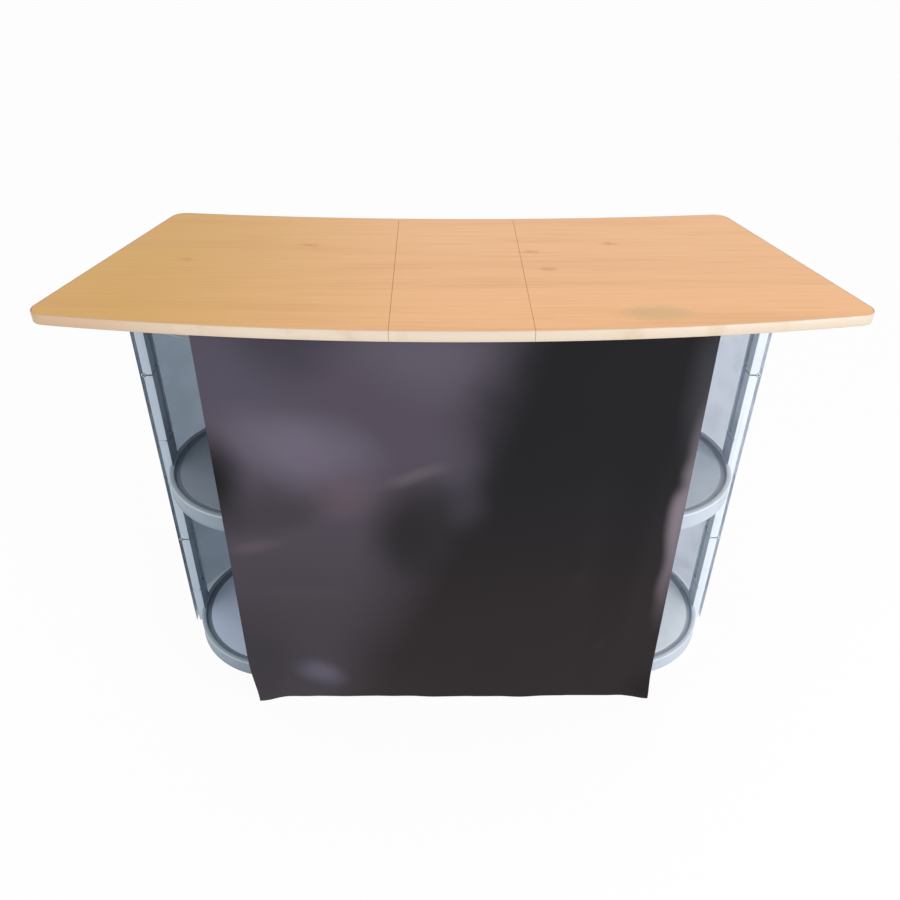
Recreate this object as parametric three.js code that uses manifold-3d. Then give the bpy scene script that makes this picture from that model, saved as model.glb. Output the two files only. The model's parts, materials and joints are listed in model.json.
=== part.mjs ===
// A folding promotion bar. Two round shelf towers, whose hinged posts fold inwards, carry a
// three-panel top with drop wings, and a plastic banner hangs from the front edge of the top.
// Millimetres, +Z up, customers at -Y. The origin is on the floor under the middle of the top.
import * as THREE from "three";
import { mergeVertices } from "three/addons/utils/BufferGeometryUtils.js";
import Module from "manifold-3d";

const wasm = await Module();
wasm.setup();

// Clearances
const SEAT_GAP = 0.3; // between faces that rest on each other
const RUN_GAP = 0.3; // round a pin, and beside a knuckle
const FOLD_GAP = 0.6; // between a fork and the post end that turns in it
const SEAM_GAP = 0.3; // between the two halves of a straight post
const PANEL_GAP = 0.6; // between two panels of the top
const HOOK_GAP = 0.6; // between the banner and the strip it hangs on

// Places of the towers
const TOWER_SPACING = 786; // between the two tower centres
const TOWER_SETBACK = 7.5; // tower centres behind the middle of the top

// Shelf rings
const RING_RADIUS = 196;
const RING_WALL = 6;
const RIM_HEIGHT = 37;
const LIP_WIDTH = 10;
const LIP_CHAMFER = 1.5;
const GROOVE_WIDTH = 12;
const GROOVE_DEPTH = 8;
const LEDGE_THICKNESS = 4;
const LEDGE_BEARING = 16; // width of ledge under a shelf disc
const DISC_THICKNESS = 4;

// Folding posts
const POST_WIDTH = 44; // along the ring
const POST_DEPTH = 18; // towards the tower centre
const POST_PROUD = 11; // outer face outside the ring wall
const POST_CHAMFER = 1.5;
const CHANNEL_WIDTH = 14;
const CHANNEL_DEPTH = 5;
const CHANNEL_OFFSET = 2; // near side of the channel from the middle of the post
const HALF_LENGTH = 159; // from an end pivot to the elbow
const FOOT_HEIGHT = 59; // foot pivot above the lip below it
const HEAD_DROP = 8; // head pivot below the ring above it
const PIVOT_INSET = 5; // end pivots behind the inner face
const PIVOT_PIN_RADIUS = 2.5;
const CHEEK_WIDTH = 10;
const ELBOW_STANDOFF = 0.4; // elbow pin outside the outer face
const ELBOW_KNUCKLE_RADIUS = 3.7;
const ELBOW_PIN_RADIUS = 2;
const ELBOW_SIDE_WIDTH = 11;

// Clear wraps
const WRAP_THICKNESS = 1;
const WRAP_END_GAP = 1; // from the underside of the ring below, and of the ring above

// Three-panel top
const BOARD_THICKNESS = 19;
const FRONT_HALF_WIDTH = 700; // to the sharp corner, before it is rounded
const BACK_HALF_WIDTH = 563;
const FRONT_REACH = 261.5; // middle of the front edge
const FRONT_BOW = 63;
const BACK_REACH = 231; // middle of the back edge
const BACK_BOW = 33;
const CORNER_RADIUS = 28;
const BAND_THICKNESS = 2;
const MIDDLE_PANEL_WIDTH = 231;
const MIDDLE_PANEL_SHIFT = 8.5; // middle panel off the middle of the top

// Piano hinges under the top
const HINGE_LENGTH = 400;
const LEAF_WIDTH = 26;
const LEAF_THICKNESS = 1.5;
const HINGE_KNUCKLE_RADIUS = 3.2;
const HINGE_PIN_RADIUS = 1.5;
const HINGE_KNUCKLES = 5;
const HINGE_END_GAP = 0.3; // between neighbouring knuckles

// Banner and its hook strips
const BANNER_WIDTH = 855;
const BANNER_THICKNESS = 1.2;
const BANNER_SETBACK = 8; // banner behind the front edge of the top
const BANNER_TOP_GAP = 2;
const BANNER_FLOOR_GAP = 6;
const BANNER_FOOT_REACH = 248; // bottom edge in front of the origin
const STRIP_HEIGHT = 20;
const STRIP_DEPTH = 6;
const STRIP_SEAM_CLEARANCE = 20; // strip ends from a seam, so that the wings can drop

// Roundness of the curved faces, in flat facets
const RING_FACETS = 28;
const WRAP_FACETS = 24;
const PIVOT_FACETS = 8;
const HINGE_FACETS = 6;
const EDGE_FACETS = 4; // on each half of a board edge or corner
const BANNER_COLUMNS = 16;
const BANNER_ROWS = 3;

// Sizes that follow from the ones above
const OVERLAP = 1; // how far a joined shape reaches into its neighbour
const MERGE_DISTANCE = 1e-3; // corners closer than this are one
const BAY = (2 * Math.PI) / 3; // angle between neighbouring posts
const DISC_RADIUS = RING_RADIUS - LIP_WIDTH - GROOVE_WIDTH;
const LEDGE_TOP = RIM_HEIGHT - GROOVE_DEPTH;
const POST_RADIUS = RING_RADIUS + POST_PROUD - POST_DEPTH / 2;
const PIVOT_X = POST_DEPTH / 2 - PIVOT_INSET;
const ELBOW_X = -POST_DEPTH / 2 - ELBOW_STANDOFF;
const TONGUE_HALF = POST_WIDTH / 2 - CHEEK_WIDTH - RUN_GAP;
const STAGE_PITCH = FOOT_HEIGHT + 2 * HALF_LENGTH + HEAD_DROP + RIM_HEIGHT;
const BOARD_BOTTOM = 2 * STAGE_PITCH + RIM_HEIGHT + SEAT_GAP;
const FRONT_RADIUS = (FRONT_HALF_WIDTH ** 2 + FRONT_BOW ** 2) / (2 * FRONT_BOW);
const BACK_RADIUS = (BACK_HALF_WIDTH ** 2 + BACK_BOW ** 2) / (2 * BACK_BOW);
const FRONT_CENTRE_Y = FRONT_RADIUS - FRONT_REACH;
const BACK_CENTRE_Y = BACK_RADIUS + BACK_REACH;
const LEFT_SEAM_X = MIDDLE_PANEL_SHIFT - MIDDLE_PANEL_WIDTH / 2;
const RIGHT_SEAM_X = MIDDLE_PANEL_SHIFT + MIDDLE_PANEL_WIDTH / 2;
const HINGE_Z = -SEAT_GAP - HINGE_KNUCKLE_RADIUS;
const FAR = 2 * FRONT_HALF_WIDTH; // beyond every edge of the top

// Finishes
function finish(color, roughness, metalness) {
  return new THREE.MeshStandardMaterial({ color, roughness, metalness });
}

const RIM_PLASTIC = finish(0x9aa8b4, 0.45, 0);
const FROSTED_SHELF = finish(0xb9c4d0, 0.35, 0);
const MILKY_SHELF = finish(0xd6dde8, 0.35, 0);
const ALUMINIUM = finish(0xc9d3dc, 0.35, 0.8);
const CLEAR_SHEET = finish(0xb4bfcc, 0.2, 0);
const BEECH_BOARD = finish(0xe0b37c, 0.4, 0);
const CREAM_EDGE = finish(0xe9dccb, 0.5, 0);
const STEEL = finish(0xa8acb0, 0.35, 0.9);
const BLACK_SHEET = finish(0x3a383d, 0.3, 0);
const HOOK_TAPE = finish(0x1c1c1e, 0.9, 0);

// Shape helpers

// A closed geometry as a solid that can be joined and cut.
function toSolid(geometry) {
  const bare = new THREE.BufferGeometry();
  const loose = geometry.index ? geometry.toNonIndexed() : geometry;
  bare.setAttribute("position", loose.getAttribute("position"));
  const merged = mergeVertices(bare, MERGE_DISTANCE);
  const vertProperties = new Float32Array(merged.getAttribute("position").array);
  const triVerts = new Uint32Array(merged.index.array);
  return new wasm.Manifold(new wasm.Mesh({ numProp: 3, vertProperties, triVerts }));
}

// A solid as a geometry that a mesh can hold.
function toGeometry(solid) {
  const { vertProperties, triVerts, numProp } = solid.getMesh();
  const geometry = new THREE.BufferGeometry();
  const corners = new THREE.BufferAttribute(new Float32Array(vertProperties), numProp);
  geometry.setAttribute("position", corners);
  geometry.setIndex(new THREE.BufferAttribute(new Uint32Array(triVerts), 1));
  geometry.computeVertexNormals();
  return geometry;
}

// A box between two corners.
function block(x0, x1, y0, y1, z0, z1) {
  const geometry = new THREE.BoxGeometry(x1 - x0, y1 - y0, z1 - z0);
  return toSolid(geometry.translate((x0 + x1) / 2, (y0 + y1) / 2, (z0 + z1) / 2));
}

// A flat outline in X and Y, as thick as from z0 to z1.
function plate(shape, z0, z1) {
  const options = { depth: z1 - z0, bevelEnabled: false, curveSegments: EDGE_FACETS };
  return toSolid(new THREE.ExtrudeGeometry(shape, options).translate(0, 0, z0));
}

// An outline in X and Z, as wide as from y0 to y1.
function slice(shape, y0, y1) {
  const options = { depth: y1 - y0, bevelEnabled: false, curveSegments: PIVOT_FACETS / 4 };
  const geometry = new THREE.ExtrudeGeometry(shape, options);
  return toSolid(geometry.rotateX(Math.PI / 2).translate(0, y1, 0));
}

// A round bar along Y at the given X and Z.
function rod(radius, x, z, y0, y1, facets) {
  const geometry = new THREE.CylinderGeometry(radius, radius, y1 - y0, facets);
  return toSolid(geometry.translate(x, (y0 + y1) / 2, z));
}

// The room for a round bar that turns: its flat facets stay outside the given radius.
function bore(radius, x, z, y0, y1, facets) {
  return rod(radius / Math.cos(Math.PI / facets), x, z, y0, y1, facets);
}

const outlineOf = (points) => new THREE.Shape(points.map(([x, y]) => new THREE.Vector2(x, y)));

// A named piece of the bar.
function piece(name, solid, material) {
  const mesh = new THREE.Mesh(toGeometry(solid), material);
  mesh.name = name;
  return mesh;
}

// Posts: X points to the tower centre, Y along the ring, and Z from an end pivot to the elbow.

// The section of a post. The channel in the inner face lies towards +Y or, with side -1, -Y.
function postSection(side) {
  const x = POST_DEPTH / 2;
  const y = POST_WIDTH / 2;
  const c = POST_CHAMFER;
  const near = CHANNEL_OFFSET;
  const far = CHANNEL_OFFSET + CHANNEL_WIDTH;
  const floor = x - CHANNEL_DEPTH;
  const corners = [
    [-x + c, -y], [x, -y], [x, near], [floor, near], [floor, far],
    [x, far], [x, y], [-x + c, y], [-x, y - c], [-x, -y + c],
  ];
  if (side > 0) return outlineOf(corners);
  return outlineOf(corners.map(([px, py]) => [px, -py]).reverse());
}

// The eye that turns in a fork, with its neck up to the body of the post.
function postEye() {
  const shape = new THREE.Shape();
  const neck = PIVOT_INSET + FOLD_GAP + OVERLAP;
  shape.moveTo(PIVOT_X - PIVOT_INSET, neck);
  shape.lineTo(PIVOT_X - PIVOT_INSET, 0);
  shape.absarc(PIVOT_X, 0, PIVOT_INSET, Math.PI, 2 * Math.PI);
  shape.lineTo(PIVOT_X + PIVOT_INSET, neck);
  const hole = bore(PIVOT_PIN_RADIUS + RUN_GAP, PIVOT_X, 0, -POST_WIDTH, POST_WIDTH, PIVOT_FACETS);
  return slice(shape, -TONGUE_HALF, TONGUE_HALF).subtract(hole);
}

// One half of a post, from its eye to the elbow seam.
function postHalf(channelSide, carriesPin) {
  const half = POST_WIDTH / 2;
  const side = half - ELBOW_SIDE_WIDTH;
  const seam = HALF_LENGTH - SEAM_GAP / 2;
  const knuckle = (y0, y1) => rod(ELBOW_KNUCKLE_RADIUS, ELBOW_X, HALF_LENGTH, y0, y1, PIVOT_FACETS);
  const relief = (y0, y1) =>
    bore(ELBOW_KNUCKLE_RADIUS + RUN_GAP, ELBOW_X, HALF_LENGTH, y0, y1, PIVOT_FACETS);
  const body = plate(postSection(channelSide), PIVOT_INSET + FOLD_GAP, seam).add(postEye());
  if (carriesPin) {
    const pin = rod(ELBOW_PIN_RADIUS, ELBOW_X, HALF_LENGTH, -side - OVERLAP, side + OVERLAP, PIVOT_FACETS);
    const sides = knuckle(-half, -side).add(knuckle(side, half));
    return body.subtract(relief(-side, side)).add(sides).add(pin);
  }
  const inner = side - RUN_GAP;
  const hole = bore(ELBOW_PIN_RADIUS + RUN_GAP, ELBOW_X, HALF_LENGTH, -half, half, PIVOT_FACETS);
  const cut = body.subtract(relief(-half - OVERLAP, -inner)).subtract(relief(inner, half + OVERLAP));
  return cut.add(knuckle(-inner, inner)).subtract(hole);
}

// The fork of a ring, with its pivot at the height 0 and its foot the given drop below that.
function ringFork(drop) {
  const half = POST_WIDTH / 2;
  const outer = -POST_DEPTH / 2;
  const floor = -PIVOT_INSET - FOLD_GAP;
  const c = POST_CHAMFER;
  const foot = outlineOf([
    [outer + c, -half], [-outer, -half], [-outer, half],
    [outer + c, half], [outer, half - c], [outer, -half + c],
  ]);
  const cheek = new THREE.Shape();
  cheek.moveTo(outer, floor - OVERLAP);
  cheek.lineTo(PIVOT_X + PIVOT_INSET, floor - OVERLAP);
  cheek.lineTo(PIVOT_X + PIVOT_INSET, 0);
  cheek.absarc(PIVOT_X, 0, PIVOT_INSET, 0, Math.PI / 2);
  cheek.lineTo(outer, PIVOT_INSET);
  const inner = half - CHEEK_WIDTH;
  const cheeks = slice(cheek, -half, -inner).add(slice(cheek, inner, half));
  const clipped = cheeks.intersect(plate(foot, floor - 2 * OVERLAP, PIVOT_INSET + OVERLAP));
  const pin = rod(PIVOT_PIN_RADIUS, PIVOT_X, 0, -inner - OVERLAP, inner + OVERLAP, PIVOT_FACETS);
  return plate(foot, -drop, floor).add(clipped).add(pin);
}

// A fork moved to its post's place on a ring. Head forks hang upside down.
function placedFork(fork, angle, height, isHead) {
  const geometry = toGeometry(fork);
  if (isHead) geometry.rotateX(Math.PI);
  return toSolid(geometry.rotateZ(Math.PI).translate(POST_RADIUS, 0, height).rotateZ(angle));
}

// Rings and shelf discs, with their underside at the height 0

// A solid turned round the Z axis from its profile in radius and height.
function turned(profile) {
  const points = [...profile, profile[0]].map(([r, z]) => new THREE.Vector2(r, z));
  return toSolid(new THREE.LatheGeometry(points, RING_FACETS).rotateX(Math.PI / 2));
}

// A rim with an inner ledge, and a fork at each post that stands on it or hangs under it.
function shelfRing(angles, hasFeet, hasHeads) {
  const lip = RING_RADIUS - LIP_WIDTH;
  const wall = RING_RADIUS - RING_WALL;
  const mouth = DISC_RADIUS - LEDGE_BEARING;
  const underLedge = LEDGE_TOP - LEDGE_THICKNESS;
  let ring = turned([
    [RING_RADIUS, 0], [RING_RADIUS, RIM_HEIGHT - LIP_CHAMFER],
    [RING_RADIUS - LIP_CHAMFER, RIM_HEIGHT], [lip, RIM_HEIGHT], [lip, LEDGE_TOP],
    [mouth, LEDGE_TOP], [mouth, underLedge], [wall, underLedge], [wall, 0],
  ]);
  const footFork = ringFork(FOOT_HEIGHT + RIM_HEIGHT);
  const headFork = ringFork(HEAD_DROP + (hasFeet ? OVERLAP : RIM_HEIGHT));
  for (const angle of angles) {
    if (hasFeet) ring = ring.add(placedFork(footFork, angle, RIM_HEIGHT + FOOT_HEIGHT, false));
    if (hasHeads) ring = ring.add(placedFork(headFork, angle, -HEAD_DROP, true));
  }
  return ring;
}

function shelfDisc() {
  const bottom = LEDGE_TOP + SEAT_GAP;
  const top = bottom + DISC_THICKNESS;
  const disc = new THREE.CylinderGeometry(DISC_RADIUS, DISC_RADIUS, DISC_THICKNESS, RING_FACETS);
  return toSolid(disc.rotateX(Math.PI / 2).translate(0, 0, (bottom + top) / 2));
}

// A clear sheet round a tower, from the front of the outer post, past the back, to the front post.
function clearWrap(hand, bottom, top) {
  const reach = POST_DEPTH / 2 + ELBOW_STANDOFF + ELBOW_KNUCKLE_RADIUS;
  const corner = Math.hypot(POST_RADIUS + reach, POST_WIDTH / 2);
  const lap = Math.asin(POST_WIDTH / 2 / corner);
  const sweep = 2 * BAY + 2 * lap;
  const inner = corner / Math.cos(sweep / WRAP_FACETS / 2) + SEAT_GAP;
  const first = -lap;
  const shape = new THREE.Shape();
  shape.absarc(0, 0, inner + WRAP_THICKNESS, first, first + sweep);
  shape.absarc(0, 0, inner, first + sweep, first, true);
  const options = { depth: top - bottom, bevelEnabled: false, curveSegments: WRAP_FACETS / 2 };
  const geometry = new THREE.ExtrudeGeometry(shape, options).translate(0, 0, bottom);
  if (hand > 0) return toSolid(geometry);
  return toSolid(geometry.rotateX(Math.PI).translate(0, 0, top + bottom).rotateZ(Math.PI));
}

// One tower. Hand -1 is the left tower and 1 the right one, its mirror image.
function tower(name, hand) {
  const group = new THREE.Group();
  group.position.set((hand * TOWER_SPACING) / 2, TOWER_SETBACK, 0);
  const outward = hand > 0 ? 0 : Math.PI;
  const places = { outer: outward, front: outward - hand * BAY, rear: outward + hand * BAY };
  const angles = Object.values(places);
  const levels = ["base", "middle", "top"];
  levels.forEach((level, index) => {
    const shelf = new THREE.Group();
    shelf.position.z = index * STAGE_PITCH;
    const ring = shelfRing(angles, level !== "top", level !== "base");
    shelf.add(piece(`${name}_${level}_ring`, ring, RIM_PLASTIC));
    const glass = level === "base" ? MILKY_SHELF : FROSTED_SHELF;
    shelf.add(piece(`${name}_${level}_shelf`, shelfDisc(), glass));
    group.add(shelf);
  });
  ["lower", "upper"].forEach((stage, index) => {
    const floor = index * STAGE_PITCH;
    const pivot = floor + RIM_HEIGHT + FOOT_HEIGHT;
    for (const [place, angle] of Object.entries(places)) {
      const post = new THREE.Group();
      post.rotation.z = angle + Math.PI;
      post.position.set(POST_RADIUS * Math.cos(angle), POST_RADIUS * Math.sin(angle), pivot);
      const label = `${name}_${stage}_${place}_post`;
      const bottom = piece(`${label}_bottom`, postHalf(-hand, true), ALUMINIUM);
      const top = piece(`${label}_top`, postHalf(hand, false), ALUMINIUM);
      top.position.z = 2 * HALF_LENGTH;
      top.rotation.x = Math.PI;
      post.add(bottom, top);
      group.add(post);
    }
    const wrap = clearWrap(hand, floor + WRAP_END_GAP, floor + STAGE_PITCH - WRAP_END_GAP);
    group.add(piece(`${name}_${stage}_wrap`, wrap, CLEAR_SHEET));
  });
  return group;
}

// The top, with its underside at the height 0

// Centres of the rounded corners: as far from the side edge as from the front or back edge.
function cornerCentres() {
  const frontY = FRONT_CENTRE_Y - Math.sqrt(FRONT_RADIUS ** 2 - FRONT_HALF_WIDTH ** 2);
  const backY = BACK_CENTRE_Y - Math.sqrt(BACK_RADIUS ** 2 - BACK_HALF_WIDTH ** 2);
  const side = new THREE.Vector2(BACK_HALF_WIDTH - FRONT_HALF_WIDTH, backY - frontY).normalize();
  const inward = new THREE.Vector2(-side.y, side.x);
  const start = new THREE.Vector2(FRONT_HALF_WIDTH, frontY).addScaledVector(inward, CORNER_RADIUS);
  const meet = (centreY, radius) => {
    const from = new THREE.Vector2(start.x, start.y - centreY);
    const along = from.dot(side);
    const step = -along - Math.sqrt(along ** 2 - from.lengthSq() + radius ** 2);
    const other = -along + Math.sqrt(along ** 2 - from.lengthSq() + radius ** 2);
    const nearest = Math.abs(step) < Math.abs(other) ? step : other;
    return start.clone().addScaledVector(side, nearest);
  };
  return {
    front: meet(FRONT_CENTRE_Y, FRONT_RADIUS - CORNER_RADIUS),
    back: meet(BACK_CENTRE_Y, BACK_RADIUS + CORNER_RADIUS),
    sideAngle: Math.atan2(-inward.y, -inward.x),
  };
}

const CORNERS = cornerCentres();

// The outline of the top, moved in from its edge by the given inset.
function topOutline(inset) {
  const { front, back, sideAngle } = CORNERS;
  const radius = CORNER_RADIUS - inset;
  const frontAngle = Math.atan2(front.y - FRONT_CENTRE_Y, front.x);
  const backAngle = Math.atan2(back.y - BACK_CENTRE_Y, back.x);
  const shape = new THREE.Shape();
  shape.absarc(0, FRONT_CENTRE_Y, FRONT_RADIUS - inset, -Math.PI - frontAngle, frontAngle);
  shape.absarc(front.x, front.y, radius, frontAngle, sideAngle);
  shape.absarc(back.x, back.y, radius, sideAngle, backAngle + Math.PI);
  shape.absarc(0, BACK_CENTRE_Y, BACK_RADIUS + inset, backAngle, -Math.PI - backAngle, true);
  shape.absarc(-back.x, back.y, radius, -backAngle, Math.PI - sideAngle);
  shape.absarc(-front.x, front.y, radius, Math.PI - sideAngle, Math.PI - frontAngle);
  return shape;
}

// Everything between two insets of the outline, as a rim of the given height.
function topRim(outerInset, innerInset, z0, z1) {
  const inside = plate(topOutline(innerInset), z0 - OVERLAP, z1 + OVERLAP);
  return plate(topOutline(outerInset), z0, z1).subtract(inside);
}

// The piece of a solid between two places along X, in front of or behind the given Y.
function between(solid, x0, x1, y0 = -FAR, y1 = FAR) {
  return solid.intersect(block(x0, x1, y0, y1, -FAR, FAR));
}

// One leaf of a piano hinge: side -1 lies to the left of the pin, and 1 to its right.
function hingeLeaf(side, isFirst) {
  const step = HINGE_LENGTH / HINGE_KNUCKLES;
  const start = -HINGE_LENGTH / 2;
  const near = side * HINGE_END_GAP;
  const far = side * LEAF_WIDTH;
  const flat = [Math.min(near, far), Math.max(near, far)];
  let leaf = block(...flat, start, -start, -SEAT_GAP - LEAF_THICKNESS, -SEAT_GAP);
  for (let index = 0; index < HINGE_KNUCKLES; index += 1) {
    const isOwn = (index % 2 === 0) === isFirst;
    const y0 = start + index * step;
    const trim = HINGE_END_GAP / 2;
    if (isOwn) {
      const ends = [y0 + trim, y0 + step - trim];
      leaf = leaf.add(rod(HINGE_KNUCKLE_RADIUS, 0, HINGE_Z, ...ends, HINGE_FACETS));
    } else {
      const relief = HINGE_KNUCKLE_RADIUS + RUN_GAP;
      leaf = leaf.subtract(bore(relief, 0, HINGE_Z, y0 - trim, y0 + step + trim, HINGE_FACETS));
    }
  }
  const room = HINGE_PIN_RADIUS + RUN_GAP;
  return leaf.subtract(bore(room, 0, HINGE_Z, 2 * start, -2 * start, HINGE_FACETS));
}

// The piano hinge under one seam. The wing lies on the given side of it.
function pianoHinge(name, seamX, wingSide) {
  const group = new THREE.Group();
  group.position.set(seamX, BACK_REACH / 2 - FRONT_REACH / 2, 0);
  const half = HINGE_LENGTH / 2;
  group.add(piece(`${name}_hinge_middle_leaf`, hingeLeaf(-wingSide, true), STEEL));
  group.add(piece(`${name}_hinge_wing_leaf`, hingeLeaf(wingSide, false), STEEL));
  const pin = rod(HINGE_PIN_RADIUS, 0, HINGE_Z, -half, half, HINGE_FACETS);
  group.add(piece(`${name}_hinge_pin`, pin, STEEL));
  return group;
}

// The panels with their edge bands, and the hook strips under the front edge.
function counterTop() {
  const group = new THREE.Group();
  group.position.z = BOARD_BOTTOM;
  const board = plate(topOutline(BAND_THICKNESS + SEAT_GAP), 0, BOARD_THICKNESS);
  const band = topRim(0, BAND_THICKNESS, 0, BOARD_THICKNESS);
  const left = LEFT_SEAM_X - PANEL_GAP / 2;
  const right = RIGHT_SEAM_X + PANEL_GAP / 2;
  const middle = [LEFT_SEAM_X + PANEL_GAP / 2, RIGHT_SEAM_X - PANEL_GAP / 2];
  group.add(piece("left_wing", between(board, -FAR, left), BEECH_BOARD));
  group.add(piece("middle_panel", between(board, ...middle), BEECH_BOARD));
  group.add(piece("right_wing", between(board, right, FAR), BEECH_BOARD));
  group.add(piece("left_wing_edge", between(band, -FAR, left), CREAM_EDGE));
  group.add(piece("middle_front_edge", between(band, ...middle, -FAR, 0), CREAM_EDGE));
  group.add(piece("middle_back_edge", between(band, ...middle, 0, FAR), CREAM_EDGE));
  group.add(piece("right_wing_edge", between(band, right, FAR), CREAM_EDGE));
  group.add(pianoHinge("left", LEFT_SEAM_X, -1), pianoHinge("right", RIGHT_SEAM_X, 1));
  const face = BANNER_SETBACK + BANNER_THICKNESS + HOOK_GAP;
  const strip = topRim(face, face + STRIP_DEPTH, -SEAT_GAP - STRIP_HEIGHT, -SEAT_GAP);
  const end = BANNER_WIDTH / 2;
  const clear = STRIP_SEAM_CLEARANCE;
  group.add(piece("left_hook_strip", between(strip, -end, LEFT_SEAM_X - clear, -FAR, 0), HOOK_TAPE));
  const inner = [LEFT_SEAM_X + clear, RIGHT_SEAM_X - clear];
  group.add(piece("middle_hook_strip", between(strip, ...inner, -FAR, 0), HOOK_TAPE));
  group.add(piece("right_hook_strip", between(strip, RIGHT_SEAM_X + clear, end, -FAR, 0), HOOK_TAPE));
  return group;
}

// The banner: its top follows the bowed front edge, and its bottom hangs straight.
function frontBanner() {
  const top = BOARD_BOTTOM - BANNER_TOP_GAP;
  const height = top - BANNER_FLOOR_GAP;
  const grid = [BANNER_COLUMNS, 1, BANNER_ROWS];
  const sheet = new THREE.BoxGeometry(BANNER_WIDTH, BANNER_THICKNESS, height, ...grid);
  sheet.translate(0, BANNER_THICKNESS / 2, BANNER_FLOOR_GAP + height / 2);
  const bow = FRONT_RADIUS - BANNER_SETBACK;
  const places = sheet.getAttribute("position");
  for (let index = 0; index < places.count; index += 1) {
    const hung = FRONT_CENTRE_Y - Math.sqrt(bow ** 2 - places.getX(index) ** 2);
    const rise = (places.getZ(index) - BANNER_FLOOR_GAP) / height;
    const bend = THREE.MathUtils.lerp(-BANNER_FOOT_REACH, hung, rise);
    places.setY(index, places.getY(index) + bend);
  }
  return piece("front_banner", toSolid(sheet), BLACK_SHEET);
}

const bar = new THREE.Group();
bar.add(tower("left", -1), tower("right", 1), counterTop(), frontBanner());

export default bar;
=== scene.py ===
"""Looks of a folding promotion bar: two shelf towers, a three-panel top and a dark banner."""

import json
import logging
import math
from dataclasses import dataclass
from enum import Enum
from typing import Callable, Sequence

import bmesh
import bpy
from mathutils import Color, Matrix, Vector

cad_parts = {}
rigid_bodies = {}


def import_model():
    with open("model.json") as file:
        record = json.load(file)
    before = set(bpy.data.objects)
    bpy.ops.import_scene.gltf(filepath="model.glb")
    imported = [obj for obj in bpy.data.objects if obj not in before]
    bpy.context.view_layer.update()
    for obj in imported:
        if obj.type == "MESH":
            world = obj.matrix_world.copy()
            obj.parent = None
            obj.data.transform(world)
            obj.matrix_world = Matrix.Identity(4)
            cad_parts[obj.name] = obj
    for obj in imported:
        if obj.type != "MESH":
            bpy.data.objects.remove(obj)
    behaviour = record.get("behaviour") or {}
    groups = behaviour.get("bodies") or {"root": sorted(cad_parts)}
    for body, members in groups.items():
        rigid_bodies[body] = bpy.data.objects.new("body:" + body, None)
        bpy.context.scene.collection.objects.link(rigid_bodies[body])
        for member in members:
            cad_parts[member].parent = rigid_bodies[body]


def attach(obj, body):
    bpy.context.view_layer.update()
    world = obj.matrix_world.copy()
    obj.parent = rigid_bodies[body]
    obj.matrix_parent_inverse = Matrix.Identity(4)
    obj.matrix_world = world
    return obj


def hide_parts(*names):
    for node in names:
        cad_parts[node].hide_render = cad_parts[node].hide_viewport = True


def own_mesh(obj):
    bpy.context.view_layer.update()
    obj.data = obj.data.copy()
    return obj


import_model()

LOG = logging.getLogger("folding_bar")
FULL_TONE = 255
# Material index of the dark pin steel, also used as painted shade in the elbow seams.
PIN_AND_SEAM_SHADE = 1
TURN = 2 * math.pi
QUARTER = math.pi / 2
THIRD = TURN / 3
FLIP = Matrix.Rotation(math.pi, 4, "X")

Colour = tuple[int, int, int]
Pair = tuple[float, float]
Triple = tuple[float, float, float]
Loop = list[Vector]
Socket = bpy.types.NodeSocket
Material = bpy.types.Material
Piece = bpy.types.Object
Finishes = dict[str, Material]


class Named(Enum):
    """A choice whose members lend their names to pieces."""

    @property
    def word(self) -> str:
        """The word for this member in piece names."""
        return self.name.lower()


class Side(Named):
    """Which tower, wing or hinge a piece belongs to."""

    LEFT = -1
    RIGHT = 1


class Level(Named):
    """The rings of a tower, from the floor up."""

    BASE = 0
    MIDDLE = 1
    TOP = 2


class Storey(Named):
    """The two storeys of a tower."""

    LOWER = 0
    UPPER = 1


def linear(colour: Colour) -> tuple[float, float, float, float]:
    """Turns a colour of 0 to 255 into the values that a shader socket takes.

    Args:
        colour: red, green and blue as a screen shows them.

    Returns:
        Linear red, green and blue, and an alpha of 1.
    """
    tone = Color([channel / FULL_TONE for channel in colour])
    return (*tone.from_srgb_to_scene_linear(), 1.0)


def dimmed(colour: Colour, share: float) -> Colour:
    """A darker colour of the same hue."""
    return tuple(int(channel * share) for channel in colour)


def evenly(start: float, stop: float, steps: int) -> list[float]:
    """Even places from one value to another, both of them included."""
    return [start + (stop - start) * i / steps for i in range(steps + 1)]


def around(steps: int) -> list[float]:
    """Even angles round a full turn."""
    return [TURN * i / steps for i in range(steps)]


def polar(radius: float, angle: float, z: float = 0.0) -> Vector:
    """The point at a radius and an angle round the vertical."""
    return Vector((radius * math.cos(angle), radius * math.sin(angle), z))


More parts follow.
